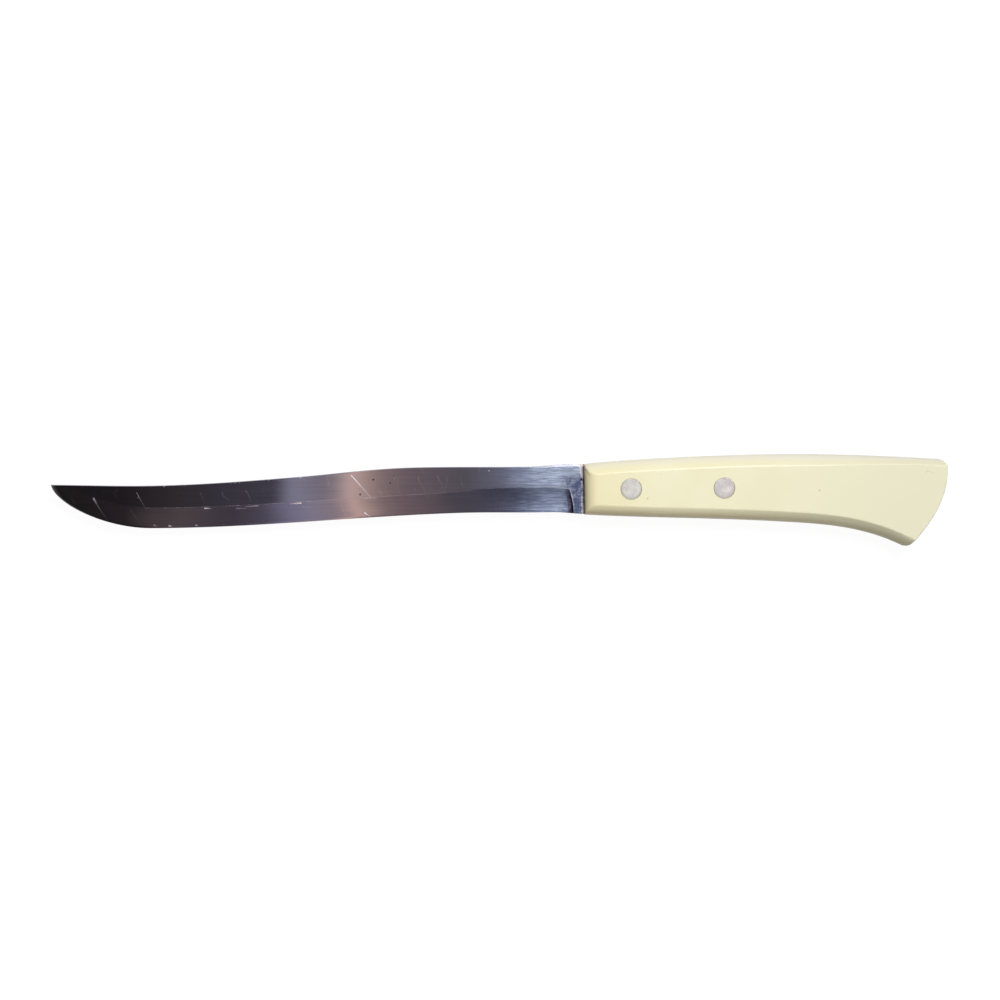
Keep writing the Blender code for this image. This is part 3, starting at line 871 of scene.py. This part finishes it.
def drawMarks(tree, place, marks):
    # the strongest of several scratches and specks; each is from, to, width, strength
    drawn = None
    for x0, y0, x1, y1, width, strength in marks:
        ends = {"from": (x0 * mm, y0 * mm, 0), "to": (x1 * mm, y1 * mm, 0)}
        mark = useGroup(tree, scratchMark, {"place": place, **ends, "width": width * mm, "ragged": 0.6})
        mark = times(tree, mark, strength)
        drawn = mark if drawn is None else strongest(tree, drawn, mark)
    return drawn


steel = {
    # warm and cool: a tarnish tint that also carries painted reflection
    "warm": (0.445, 0.415, 0.412),
    "cool": (0.415, 0.415, 0.452),
    "brushed": (0.30, 0.29, 0.30),
    "streakDark": (0.32, 0.33, 0.38),
    "streakPale": (0.64, 0.66, 0.71),
    # the pale of scratches, also used for painted glints
    "scratchAndGlintPale": (0.80, 0.76, 0.76),
    "heelBlotch": (0.075, 0.09, 0.16),
    # painted shade on the plunge's curved wall
    "plungeShade": (0.012, 0.014, 0.03),
    "residue": (0.74, 0.68, 0.685),
    # grime, which also paints the shade in the joint
    "grimeAndShade": (0.02, 0.016, 0.014),
    "roughness": 0.045,
    "relief": (1.0, 0.0012 * mm),
    "brush": {"along": 60.0, "across": 2100.0, "detail": 3.0},
    "streak": {"along": 190.0, "across": 2000.0, "detail": 4.0},
    "hair": {"turn": 1.35, "along": 90.0, "across": 900.0, "detail": 2.0},
    "glint": {"along": 260.0, "across": 300.0, "detail": 4.0},
    # from where to where each comes in or goes, along the blade or across it
    "coolAlong": (-150 * mm, 10 * mm),
    "hazeAlong": (-6 * mm, 18 * mm),
    # where the painted shade and light across the blade by the heel reach
    "paintedShadeAcross": (-4.7 * mm, 4.0 * mm),
    "paintedLightAcross": (4.4 * mm, 6.8 * mm),
    "paintedShadeAlong": (-14 * mm, 4 * mm),
    "paintedShadeEnds": (26.5 * mm, 29 * mm),
    "blotchAlong": (21.5 * mm, 29.5 * mm),
    "blotchAcross": (6.6 * mm, 12 * mm),
    # painted glints weaker from here towards the handle
    "glintsAlong": (-55 * mm, -35 * mm),
    "nicksAlong": (-50 * mm, -20 * mm),
}
# scratches and nicks on the side that lies up, and painted glints along the grind line: from, to (mm),
# width (mm), strength
steelScratchesAndGlints = [
    (-154.4, 0.6, -152.6, -2.6, 0.80, 0.85),
    (-152.9, -2.2, -149.4, -7.4, 0.42, 0.60),
    (-138.0, 2.8, -134.2, -4.0, 0.30, 0.66),
    (-140.6, -3.4, -136.6, -9.0, 0.30, 0.34),
    (-55.9, 9.3, -48.6, 1.0, 0.42, 1.10),
    (-50.9, -4.9, -48.8, -6.4, 0.46, 1.20),
    (-74.4, -2.6, -71.0, -2.9, 0.42, 0.4),
    (-3.4, 11.2, -3.3, 11.2, 0.50, 0.9),
    (-131.4, -9.6, -130.2, -10.2, 0.62, 0.8),
    (-125.6, -9.9, -124.4, -10.1, 0.75, 1.1),
    (-115.4, -9.7, -114.6, -9.8, 0.62, 1.0),
    # the five below are painted glints where the grind line catches the light
    (-112.0, -3.2, -109.6, -3.2, 0.52, 1.3),
    (-99.8, -3.2, -96.2, -3.2, 0.60, 0.5),
    (-91.6, -2.2, -96.4, -2.6, 0.36, 0.9),
    (-75.2, -1.2, -79.2, -1.4, 0.56, 1.4),
    (-51.2, 0.6, -46.6, 0.8, 0.40, 0.9),
]
steelHairs = [
    (-111.2, 5.4, -109.6, 0.2, 0.36, 0.34),
    (-103.0, 5.2, -100.6, 1.2, 0.38, 0.40),
    (-94.0, 6.0, -91.4, 1.6, 0.38, 0.40),
    (-36.6, 10.4, -34.8, 3.0, 0.34, 0.20),
    (-28.8, 11.2, -24.4, 2.6, 0.30, 0.26),
    (-20.6, 11.4, -19.2, 3.4, 0.34, 0.26),
    (-16.6, 11.4, -18.4, 4.8, 0.30, 0.22),
    (-12.4, 11.4, -10.2, 3.8, 0.30, 0.16),
]
steelPits = [
    (-137.4, 0.9, -137.3, 0.9, 0.60, 1.4),
    (-47.6, 7.8, -47.5, 7.8, 0.70, 1.6),
    (-41.0, 6.5, -40.9, 6.5, 0.76, 1.6),
    (-52.6, 2.1, -52.5, 2.1, 0.68, 1.6),
    (-39.6, 9.4, -39.5, 7.4, 0.56, 0.9),
    (31.8, 7.9, 32.0, 7.6, 0.75, 1.4),
]
# pale crust in the corner between the spine and the handle
steelCrust = [
    (31.7, 13.6, 32.3, 9.0, 1.30, 1.6),
    (32.0, 13.5, 29.0, 13.6, 0.70, 1.4),
    (32.3, -4.9, 32.3, -3.4, 0.75, 1.5),
]


def makeSteel():
    material, tree, shader, place, parts = newMaterial("bladeSteel")
    alongX = parts["X"]
    alongY = parts["Y"]
    upSide = ramp(tree, parts["Z"], middle - 0.1 * mm, middle + 0.1 * mm)
    # tarnish tint with painted reflection: warm and cool at random, cooler towards the handle
    coolness = plus(
        tree,
        ramp(tree, cloudOver(tree, place, 34.0, 3.0), 0.35, 0.65, 0.0, 0.6),
        times(tree, ramp(tree, alongX, *steel["coolAlong"]), 0.4),
    )
    colour = blendColours(tree, coolness, steel["warm"], steel["cool"])

    # brush marks along the blade, which turn to streaks and a mottled haze by the handle
    brush = drawnOut(tree, place, steel["brush"])
    colour = blendColours(tree, ramp(tree, brush, 0.3, 0.7, 0.28, 0.0), colour, steel["brushed"])
    streak = drawnOut(tree, place, steel["streak"])
    haze = ramp(tree, alongX, *steel["hazeAlong"])
    streaks = ramp(tree, streak, 0.36, 0.64)
    streaked = blendColours(tree, streaks, steel["streakDark"], steel["streakPale"])
    colour = blendColours(tree, times(tree, haze, 0.85), colour, streaked)
    # painted shade and light by the heel: lighter towards the edge, darkest by the grind line, a little
    # lighter again above it
    paintedShading = plus(
        tree,
        ramp(tree, alongY, *steel["paintedShadeAcross"], 1.30, 0.82),
        ramp(tree, alongY, *steel["paintedLightAcross"], 0.0, 0.20),
    )
    paintedShadingShare = times(
        tree,
        ramp(tree, alongX, *steel["paintedShadeAlong"]),
        ramp(tree, alongX, *steel["paintedShadeEnds"], 1.0, 0.0),
    )
    colour = blendColours(tree, paintedShadingShare, colour, paintedShading, "MULTIPLY")

    # dark blotches by the heel, and painted shade on the plunge's curved wall
    blotches = times(
        tree,
        ramp(tree, cloudOver(tree, place, 520.0, 6.0), 0.34, 0.68, 1.2, 0.55),
        ramp(tree, cloudOver(tree, place, 1700.0, 4.0), 0.34, 0.62, 1.15, 0.7),
        ramp(tree, alongX, *steel["blotchAlong"]),
        ramp(tree, alongY, *steel["blotchAcross"], 1.15, 0.0),
    )
    colour = blendColours(tree, blotches, colour, steel["heelBlotch"])
    # painted shade on the plunge's curved wall, for the dark it reflects
    plungeShade = ramp(tree, maskOf(tree, "plungeShadeMask"), 0.0, 0.85, 0.0, 0.95)
    colour = blendColours(tree, plungeShade, colour, steel["plungeShade"])

    # hairlines from use, in patches, the scratches that stand out, and painted glints along the grind
    # line, the plunge's rim and the edge
    scratchesAndGlints = times(tree, drawMarks(tree, place, steelScratchesAndGlints), upSide)
    drift = addNode(tree, "TexNoise", {"Vector": place, "Scale": 260.0, "Detail": 2.0}).outputs["Color"]
    wavyPlace = vectors(tree, "ADD", place, vectors(tree, "SCALE", drift, 4.2 * mm))
    hair = drawnOut(tree, wavyPlace, steel["hair"])
    patches = ramp(tree, cloudOver(tree, place, 60.0, 1.0), 0.45, 0.62, 0.0, 0.20)
    hairlines = times(tree, ramp(tree, hair, 0.62, 0.72), patches)
    wavy = times(tree, drawMarks(tree, wavyPlace, steelHairs), upSide)
    # painted highlights: glints along the grind line, the plunge's rim and the cutting edge
    glintRows = maskOf(tree, "glintLineMask")
    glint = drawnOut(tree, place, steel["glint"])
    paintedGlints = times(
        tree,
        ramp(tree, glintRows, 0.1, 0.8),
        ramp(tree, glint, 0.40, 0.62, 0.2, 0.7),
        ramp(tree, alongX, *steel["glintsAlong"], 1.0, 0.55),
    )
    nicks = times(
        tree,
        maskOf(tree, "nickZone"),
        ramp(tree, cloudOver(tree, place, 900.0, 2.0), 0.65, 0.71, 0.0, 0.6),
        ramp(tree, alongX, *steel["nicksAlong"], 1.0, 0.0),
    )
    # scratches, hairlines and nicks, with the painted glints
    scratchesAndGlints = strongest(tree, scratchesAndGlints, wavy, hairlines, paintedGlints, nicks)
    colour = blendColours(tree, scratchesAndGlints, colour, steel["scratchAndGlintPale"])

    # pale crust that meanders along the joint, grime and painted shade in it, and pits
    wave = times(tree, cloudOver(tree, place, 380.0, 3.0), 2.6 * mm)
    crumbs = cloudOver(tree, place, 1500.0, 3.0)
    fromJoint = fromJointLine(tree, parts)
    offCrust = offBy(tree, plus(tree, fromJoint, wave), 0.6 * mm)
    crust = ramp(tree, offCrust, 0.08 * mm, 0.42 * mm, 1.0, 0.0)
    crust = times(tree, crust, ramp(tree, crumbs, 0.38, 0.56, 0.08, 0.62))
    patch = drawMarks(tree, place, steelCrust)
    patch = times(tree, patch, ramp(tree, crumbs, 0.36, 0.5, 0.5, 1.0))
    residue = strongest(tree, crust, patch)
    colour = blendColours(tree, residue, colour, steel["residue"])
    nearHandle = plus(tree, fromJoint, times(tree, crumbs, 0.6 * mm))
    # grime and painted shade where the blade meets the handle
    jointDirtAndShade = ramp(tree, nearHandle, -0.20 * mm, 0.06 * mm, 0.0, 0.72)
    pitsAndJointShade = times(tree, drawMarks(tree, place, steelPits), upSide)
    pitsAndJointShade = strongest(tree, pitsAndJointShade, jointDirtAndShade)
    colour = blendColours(tree, pitsAndJointShade, colour, steel["grimeAndShade"])

    # crust isn't metal, and the scratches with the painted glints, the blotches, and the pits with the
    # joint grime and its painted shade shine less
    dull = times(tree, residue, 0.9)
    tree.links.new(sums(tree, "SUBTRACT", 1.0, dull), shader.inputs["Metallic"])
    rough = plus(
        tree,
        steel["roughness"],
        ramp(tree, brush, 0.3, 0.7, 0.0, 0.02),
        times(tree, haze, 0.10),
        times(tree, blotches, 0.12),
        times(tree, scratchesAndGlints, 0.35),
        times(tree, strongest(tree, dull, pitsAndJointShade), 0.5),
    )
    height = plus(tree, brush, times(tree, streak, haze), times(tree, crust, 6.0))
    finishSurface(tree, shader, colour, rough, height, steel["relief"])
    return material


plastic = {
    "cream": (0.885, 0.836, 0.556),
    "creamPale": (0.900, 0.853, 0.582),
    "creamAtFront": (0.900, 0.818, 0.500),
    # painted shade: the cream darker towards the butt, where the light falls off
    "creamShadedAtButt": (0.740, 0.712, 0.515),
    # the top facet's painted light, and its painted shade towards the butt
    "creamLitOnTop": (0.86, 0.83, 0.69),
    "creamOnTopShadedAtButt": (0.80, 0.78, 0.69),
    # painted warm shade for the bottom facet, which faces away from the lamp
    "bottomFacetShade": (0.80, 0.68, 0.42),
    "scuffed": (0.78, 0.74, 0.58),
    # the front facet's painted shade, darker towards the joint
    "frontFacetShade": (0.62, 0.50, 0.28),
    # grime, which also paints the shade in the joint
    "grimeAndShade": (0.05, 0.035, 0.02),
    "ringDirt": (0.40, 0.36, 0.20),
    "dirt": (0.30, 0.25, 0.17),
    "roughness": 0.30,
    "relief": (0.5, 0.006 * mm),
    # the ragged grain of the bottom facet's painted shade
    "bottomShadeGrain": {"along": 55.0, "across": 420.0, "detail": 3.0},
    "scuff": {"turn": 0.5, "along": 60.0, "across": 1400.0, "detail": 3.0},
    # from where to where each comes in along the handle
    "buttAlong": (60 * mm, 170 * mm),
    "frontBehind": (4 * mm, 30 * mm),
    # where the top facet's painted light turns to painted shade
    "topFacetShadedAlong": (50 * mm, 140 * mm),
    "bottomShadeFadesAlong": (60 * mm, 130 * mm),
    "dullsAlong": (80 * mm, 150 * mm),
}
plasticSpecks = [
    (56.7, 0.55, 56.8, 0.5, 0.50, 0.8),
    (121.9, 3.7, 122.0, 3.7, 0.52, 0.9),
    (62.0, 9.8, 62.1, 9.8, 0.40, 0.4),
    (162.8, 11.1, 161.8, 10.3, 0.34, 0.34),
    (162.8, 11.2, 165.6, 10.0, 0.30, 0.28),
    (33.2, 11.8, 34.9, 9.2, 0.52, 0.55),
    (32.7, -4.0, 33.3, -5.2, 0.50, 0.9),
]


def makePlastic():
    material, tree, shader, place, parts = newMaterial("creamPlastic")
    alongX = parts["X"]
    mottle = cloudOver(tree, place, 55.0, 4.0)
    colour = blendColours(tree, ramp(tree, mottle, 0.4, 0.65), plastic["cream"], plastic["creamPale"])
    # painted shade: the cream darker towards the butt, where the light falls off
    towardsButt = ramp(tree, alongX, *plastic["buttAlong"], 0.0, 0.8)
    colour = blendColours(tree, towardsButt, colour, plastic["creamShadedAtButt"])
    behindFront = [handleFront + behind for behind in plastic["frontBehind"]]
    towardsFront = ramp(tree, alongX, *behindFront, 0.8, 0.0)
    colour = blendColours(tree, towardsFront, colour, plastic["creamAtFront"])
    # painted light and shade on the top facet, which faces the lamp: a lit copy of the cream, shaded
    # towards the butt
    topFacetLight = ramp(tree, alongX, *plastic["topFacetShadedAlong"])
    topFacetLight = blendColours(tree, topFacetLight, plastic["creamLitOnTop"], plastic["creamOnTopShadedAtButt"])
    top = ramp(tree, maskOf(tree, "topFacet"), 0.1, 1.0, 0.0, 0.9)
    colour = blendColours(tree, top, colour, topFacetLight)
    # painted warm shade on the bottom facet, most towards the front, in a ragged pattern
    bottomFacetShade = times(
        tree,
        ramp(tree, maskOf(tree, "bottomFacet"), 0.05, 0.75),
        ramp(tree, alongX, *plastic["bottomShadeFadesAlong"], 0.7, 0.2),
        ramp(tree, drawnOut(tree, place, plastic["bottomShadeGrain"]), 0.32, 0.62, 0.2, 1.4),
    )
    colour = blendColours(tree, bottomFacetShade, colour, plastic["bottomFacetShade"])

    # painted shade over the front facet towards the joint, and dirt with painted shade in the joint, most
    # where the blade goes in
    fromJoint = fromJointLine(tree, parts)
    # painted shade over the front facet, darker towards the joint
    atFront = ramp(tree, fromJoint, 0.0, 2.4 * mm, 0.36, 0.0)
    colour = blendColours(tree, atFront, colour, plastic["frontFacetShade"])
    ragged = times(tree, cloudOver(tree, place, 900.0, 3.0), 0.5 * mm)
    jointDirtAndShade = sums(tree, "SUBTRACT", fromJoint, ragged)
    jointDirtAndShade = ramp(tree, jointDirtAndShade, -0.22 * mm, 0.04 * mm, 1.0, 0.0)
    offMiddle = offBy(tree, parts["Z"], middle)
    unevenDirt = cloudOver(tree, place, 330.0, 3.0)
    offMiddleRagged = plus(tree, offMiddle, times(tree, unevenDirt, 1.2 * mm))
    byBlade = ramp(tree, offMiddleRagged, 1.4 * mm, 2.6 * mm, 0.95, 0.16)
    # a dark line on the front facet's rim: painted shade of the gap, with some dirt
    onRim = ramp(tree, offMiddle, 3.1 * mm, 3.4 * mm)
    onRim = times(tree, onRim, ramp(tree, unevenDirt, 0.32, 0.6, 0.2, 0.42))
    jointDirtAndShade = times(tree, jointDirtAndShade, strongest(tree, byBlade, onRim))
    colour = blendColours(tree, jointDirtAndShade, colour, plastic["grimeAndShade"])

    # fine scuffs, a ring of dirt round each rivet, and specks on the side that lies up
    scuffs = ramp(tree, drawnOut(tree, place, plastic["scuff"]), 0.68, 0.78, 0.0, 0.25)
    colour = blendColours(tree, scuffs, colour, plastic["scuffed"])
    ring = times(
        tree,
        drawRings(tree, place, rivet["radius"] + 0.08 * mm, 0.18 * mm),
        besideRivets(tree, parts["Y"]),
        ramp(tree, cloudOver(tree, place, 380.0, 2.0), 0.35, 0.6, 0.0, 0.35),
    )
    colour = blendColours(tree, ring, colour, plastic["ringDirt"])
    upSide = ramp(tree, parts["Z"], middle, middle + 0.5 * mm)
    specks = times(tree, drawMarks(tree, place, plasticSpecks), upSide)
    colour = blendColours(tree, specks, colour, plastic["dirt"])
    rough = plus(
        tree,
        plastic["roughness"],
        ramp(tree, mottle, 0.35, 0.7, 0.0, 0.08),
        ramp(tree, alongX, *plastic["dullsAlong"], 0.0, 0.18),
        scuffs,
    )
    height = plus(tree, cloudOver(tree, place, 700.0, 2.0), times(tree, scuffs, -2.0))
    finishSurface(tree, shader, colour, rough, height, plastic["relief"])
    return material


alloyFinish = {
    "pale": (0.78, 0.75, 0.71),
    "lilac": (0.70, 0.665, 0.665),
    "creamy": (0.82, 0.77, 0.64),
    # the colour of the painted shade ring inside the head's edge
    "rimShadeOlive": (0.60, 0.58, 0.48),
    "dark": (0.46, 0.42, 0.41),
    "rimDirt": (0.34, 0.31, 0.24),
    "roughness": 0.16,
    "relief": (1.0, 0.003 * mm),
    "files": {"turn": 0.7, "along": 200.0, "across": 4500.0, "detail": 3.0},
    # the painted shade ring's radius and width, and where it fades upwards
    "rimShadeAt": (3.55 * mm, 0.75 * mm),
    "rimShadeFades": (-3.6 * mm, 3.0 * mm),
}


def makeAlloy():
    material, tree, shader, place, parts = newMaterial("rivetAlloy")
    alongY = parts["Y"]
    mottle = cloudOver(tree, place, 420.0, 5.0)
    colour = blendColours(tree, ramp(tree, mottle, 0.38, 0.62), alloyFinish["lilac"], alloyFinish["pale"])
    stains = ramp(tree, cloudOver(tree, place, 760.0, 3.0), 0.55, 0.66, 0.0, 0.8)
    colour = blendColours(tree, stains, colour, alloyFinish["creamy"])
    files = drawnOut(tree, place, alloyFinish["files"])
    colour = blendColours(tree, ramp(tree, files, 0.6, 0.75, 0.0, 0.4), colour, alloyFinish["dark"])

    # a painted shade ring inside the head's edge, strongest at the bottom, and dirt at the rim
    fades = [rivetLine + up for up in alloyFinish["rimShadeFades"]]
    rimShadeRing = times(
        tree,
        drawRings(tree, place, *alloyFinish["rimShadeAt"]),
        ramp(tree, mottle, 0.35, 0.6, 0.5, 1.0),
        ramp(tree, alongY, *fades, 1.3, 0.3),
    )
    colour = blendColours(tree, rimShadeRing, colour, alloyFinish["rimShadeOlive"])
    rim = times(
        tree,
        drawRings(tree, place, rivet["radius"] - 0.08 * mm, 0.3 * mm),
        besideRivets(tree, alongY),
        ramp(tree, mottle, 0.4, 0.6, 0.2, 0.5),
    )
    colour = blendColours(tree, rim, colour, alloyFinish["rimDirt"])
    shader.inputs["Metallic"].default_value = 1.0
    rough = plus(tree, alloyFinish["roughness"], ramp(tree, mottle, 0.4, 0.7, 0.0, 0.06))
    finishSurface(tree, shader, colour, rough, plus(tree, files, mottle), alloyFinish["relief"])
    return material


def paint(piece, material):
    piece.data.materials.clear()
    piece.data.materials.append(material)


paint(bladePiece, makeSteel())
paint(handlePiece, makePlastic())
rivetPaint = makeAlloy()
for piece in rivetPieces.values():
    paint(piece, rivetPaint)
print("materials made")


studio = {
    "cameraHeight": 1.0,
    "cameraX": 0.75 * mm,
    "lens": 94.24,
    "sensor": 36.0,
    "clip": (0.01, 50.0),
    "keyPower": 12.6,
    "keySize": 0.45,
    "keyPlace": (0.34, 0.52, 1.08),
    "ambient": 0.22,
    "floorSize": 12.0,
    "floorDrop": 0.05 * mm,
    "floorBounce": (0.44, 0.38, 0.30, 1),
    "floorShade": (0.08, 0.08, 0.08, 1),
    "floorGlow": (0.955, 1.0),
    "glowReach": (0.20, 0.60),
}

camera = bpy.data.objects.new("camera", bpy.data.cameras.new("camera"))
bpy.context.scene.collection.objects.link(camera)
camera.location = (studio["cameraX"], 0, middle + studio["cameraHeight"])
camera.data.lens = studio["lens"]
camera.data.sensor_width = studio["sensor"]
camera.data.clip_start, camera.data.clip_end = studio["clip"]
bpy.context.scene.camera = camera

lamp = bpy.data.lights.new("softBoxAbove", "AREA")
lamp.shape = "SQUARE"
lamp.size = studio["keySize"]
lamp.energy = studio["keyPower"]
softBox = bpy.data.objects.new("softBoxAbove", lamp)
bpy.context.scene.collection.objects.link(softBox)
softBox.location = studio["keyPlace"]
towards = Vector((0, 0, 0)) - softBox.location
softBox.rotation_euler = towards.to_track_quat("-Z", "Y").to_euler()


def seenRays(tree):
    # 1 for the rays that show a surface as it looks: camera, mirror and glass rays
    rays = tree.nodes.new("ShaderNodeLightPath").outputs
    return strongest(tree, rays["Is Camera Ray"], rays["Is Glossy Ray"], rays["Is Transmission Ray"])


def bareMaterial(name):
    material = bpy.data.materials.new(name)
    material.use_nodes = True
    material.node_tree.nodes.clear()
    return material, material.node_tree


world = bpy.data.worlds.new("studioAir")
bpy.context.scene.world = world
world.use_nodes = True
tree = world.node_tree
strength = addNode(
    tree,
    "MapRange",
    {"Value": seenRays(tree), "To Min": studio["ambient"], "To Max": 1.0},
).outputs["Result"]
fill(tree, tree.nodes["Background"], {"Color": (1, 1, 1, 1), "Strength": strength})

bpy.ops.object.select_all(action="DESELECT")
bpy.ops.mesh.primitive_plane_add(size=studio["floorSize"], location=(0, 0, -studio["floorDrop"]))
floor = bpy.context.object
floor.name = "paleFloor"
floorPaint, tree = bareMaterial("paleFloor")
floorPlace = tree.nodes.new("ShaderNodeTexCoord").outputs["Object"]
away = addNode(tree, "VectorMath", {0: floorPlace}, operation="LENGTH").outputs["Value"]
glow = addNode(
    tree, "Emission", {"Strength": ramp(tree, away, *studio["glowReach"], *studio["floorGlow"])}
)
shade = addNode(tree, "BsdfDiffuse", {"Color": studio["floorShade"]})
shown = addNode(tree, "AddShader", {0: glow.outputs[0], 1: shade.outputs[0]})
plain = addNode(tree, "BsdfDiffuse", {"Color": studio["floorBounce"]})
choose = addNode(tree, "MixShader", {0: seenRays(tree), 1: plain.outputs[0], 2: shown.outputs[0]})
addNode(tree, "OutputMaterial", {"Surface": choose.outputs[0]})
floor.data.materials.append(floorPaint)
print("camera, lights and floor set")


# a dark ceiling with a few paler panels, which only mirror rays see
ceiling = {
    "height": 0.30,
    "size": 1.3,
    "from": -0.56,
    "to": 0.14,
    "grindEnds": (-12 * mm, -6 * mm),
    "windowFrom": (65 * mm, 85 * mm),
    "window": (0.98, 0.96, 1.10),
    "overFlat": [
        (-0.54, (0.48, 0.48, 0.49)),
        (-0.33, (0.16, 0.16, 0.165)),
        (-0.25, (0.02, 0.02, 0.02)),
        (-0.19, (0.03, 0.025, 0.03)),
        (-0.16, (0.07, 0.06, 0.07)),
        (-0.11, (0.11, 0.10, 0.14)),
        (-0.108, (0.24, 0.24, 0.32)),
        (-0.102, (0.47, 0.46, 0.61)),
        (-0.088, (0.40, 0.35, 0.42)),
        (-0.081, (0.54, 0.44, 0.47)),
        (-0.073, (1.20, 0.85, 0.75)),
        (-0.066, (0.80, 0.58, 0.53)),
        (-0.058, (0.48, 0.35, 0.35)),
        (-0.045, (0.31, 0.24, 0.26)),
        (-0.017, (0.19, 0.175, 0.21)),
        (0.004, (0.28, 0.30, 0.40)),
        (0.020, (0.58, 0.67, 0.89)),
        (0.034, (0.85, 1.01, 1.26)),
        (0.060, (0.87, 0.84, 0.72)),
        (0.112, (0.78, 0.75, 0.75)),
    ],
    "overGrind": [
        (-0.54, (0.42, 0.42, 0.43)),
        (-0.33, (0.14, 0.14, 0.145)),
        (-0.25, (0.02, 0.02, 0.02)),
        (-0.19, (0.045, 0.035, 0.04)),
        (-0.16, (0.16, 0.13, 0.14)),
        (-0.13, (0.11, 0.09, 0.12)),
        (-0.113, (0.16, 0.145, 0.20)),
        (-0.100, (0.39, 0.36, 0.52)),
        (-0.090, (0.48, 0.44, 0.57)),
        (-0.079, (0.51, 0.42, 0.48)),
        (-0.072, (0.80, 0.58, 0.58)),
        (-0.068, (1.20, 0.83, 0.73)),
        (-0.062, (0.80, 0.58, 0.52)),
        (-0.054, (0.44, 0.32, 0.33)),
        (-0.045, (0.33, 0.24, 0.26)),
        (-0.017, (0.15, 0.135, 0.17)),
        (0.004, (0.13, 0.13, 0.19)),
        (0.020, (0.13, 0.165, 0.27)),
        (0.034, (0.66, 0.76, 0.99)),
        (0.140, (0.67, 0.70, 0.82)),
    ],
}


def colourBand(tree, share, stops):
    # colours along X, as a colour ramp over the ceiling's reach
    made = addNode(tree, "ValToRGB", {0: share})
    line = made.color_ramp
    length = ceiling["to"] - ceiling["from"]
    while len(line.elements) > 1:
        line.elements.remove(line.elements[-1])
    for i, (x, colour) in enumerate(stops):
        spot = (x - ceiling["from"]) / length
        stop = line.elements[0] if i == 0 else line.elements.new(spot)
        stop.position = spot
        stop.color = (*colour, 1.0)
    return made.outputs["Color"]


bpy.ops.object.select_all(action="DESELECT")
bpy.ops.mesh.primitive_plane_add(size=ceiling["size"], location=(0, 0, middle + ceiling["height"]))
card = bpy.context.object
card.name = "ceilingCard"
card.visible_camera = False
card.visible_diffuse = False
card.visible_shadow = False
card.visible_transmission = False
cardPaint, tree = bareMaterial("ceilingCard")
cardPlace = tree.nodes.new("ShaderNodeTexCoord").outputs["Object"]
spot = addNode(tree, "SeparateXYZ", {0: cardPlace}).outputs
reach = {"Value": spot["X"], "From Min": ceiling["from"], "From Max": ceiling["to"]}
share = addNode(tree, "MapRange", reach).outputs[0]
overFlat = colourBand(tree, share, ceiling["overFlat"])
overGrind = colourBand(tree, share, ceiling["overGrind"])
nearGrind = ramp(tree, spot["Y"], *ceiling["grindEnds"], 1.0, 0.0)
cardColour = blendColours(tree, nearGrind, overFlat, overGrind)
atWindow = ramp(tree, spot["Y"], *ceiling["windowFrom"])
cardColour = blendColours(tree, atWindow, cardColour, ceiling["window"])
cardGlow = addNode(tree, "Emission", {"Color": cardColour})
addNode(tree, "OutputMaterial", {"Surface": cardGlow.outputs[0]})
card.data.materials.append(cardPaint)

bpy.context.scene.view_settings.view_transform = "Standard"
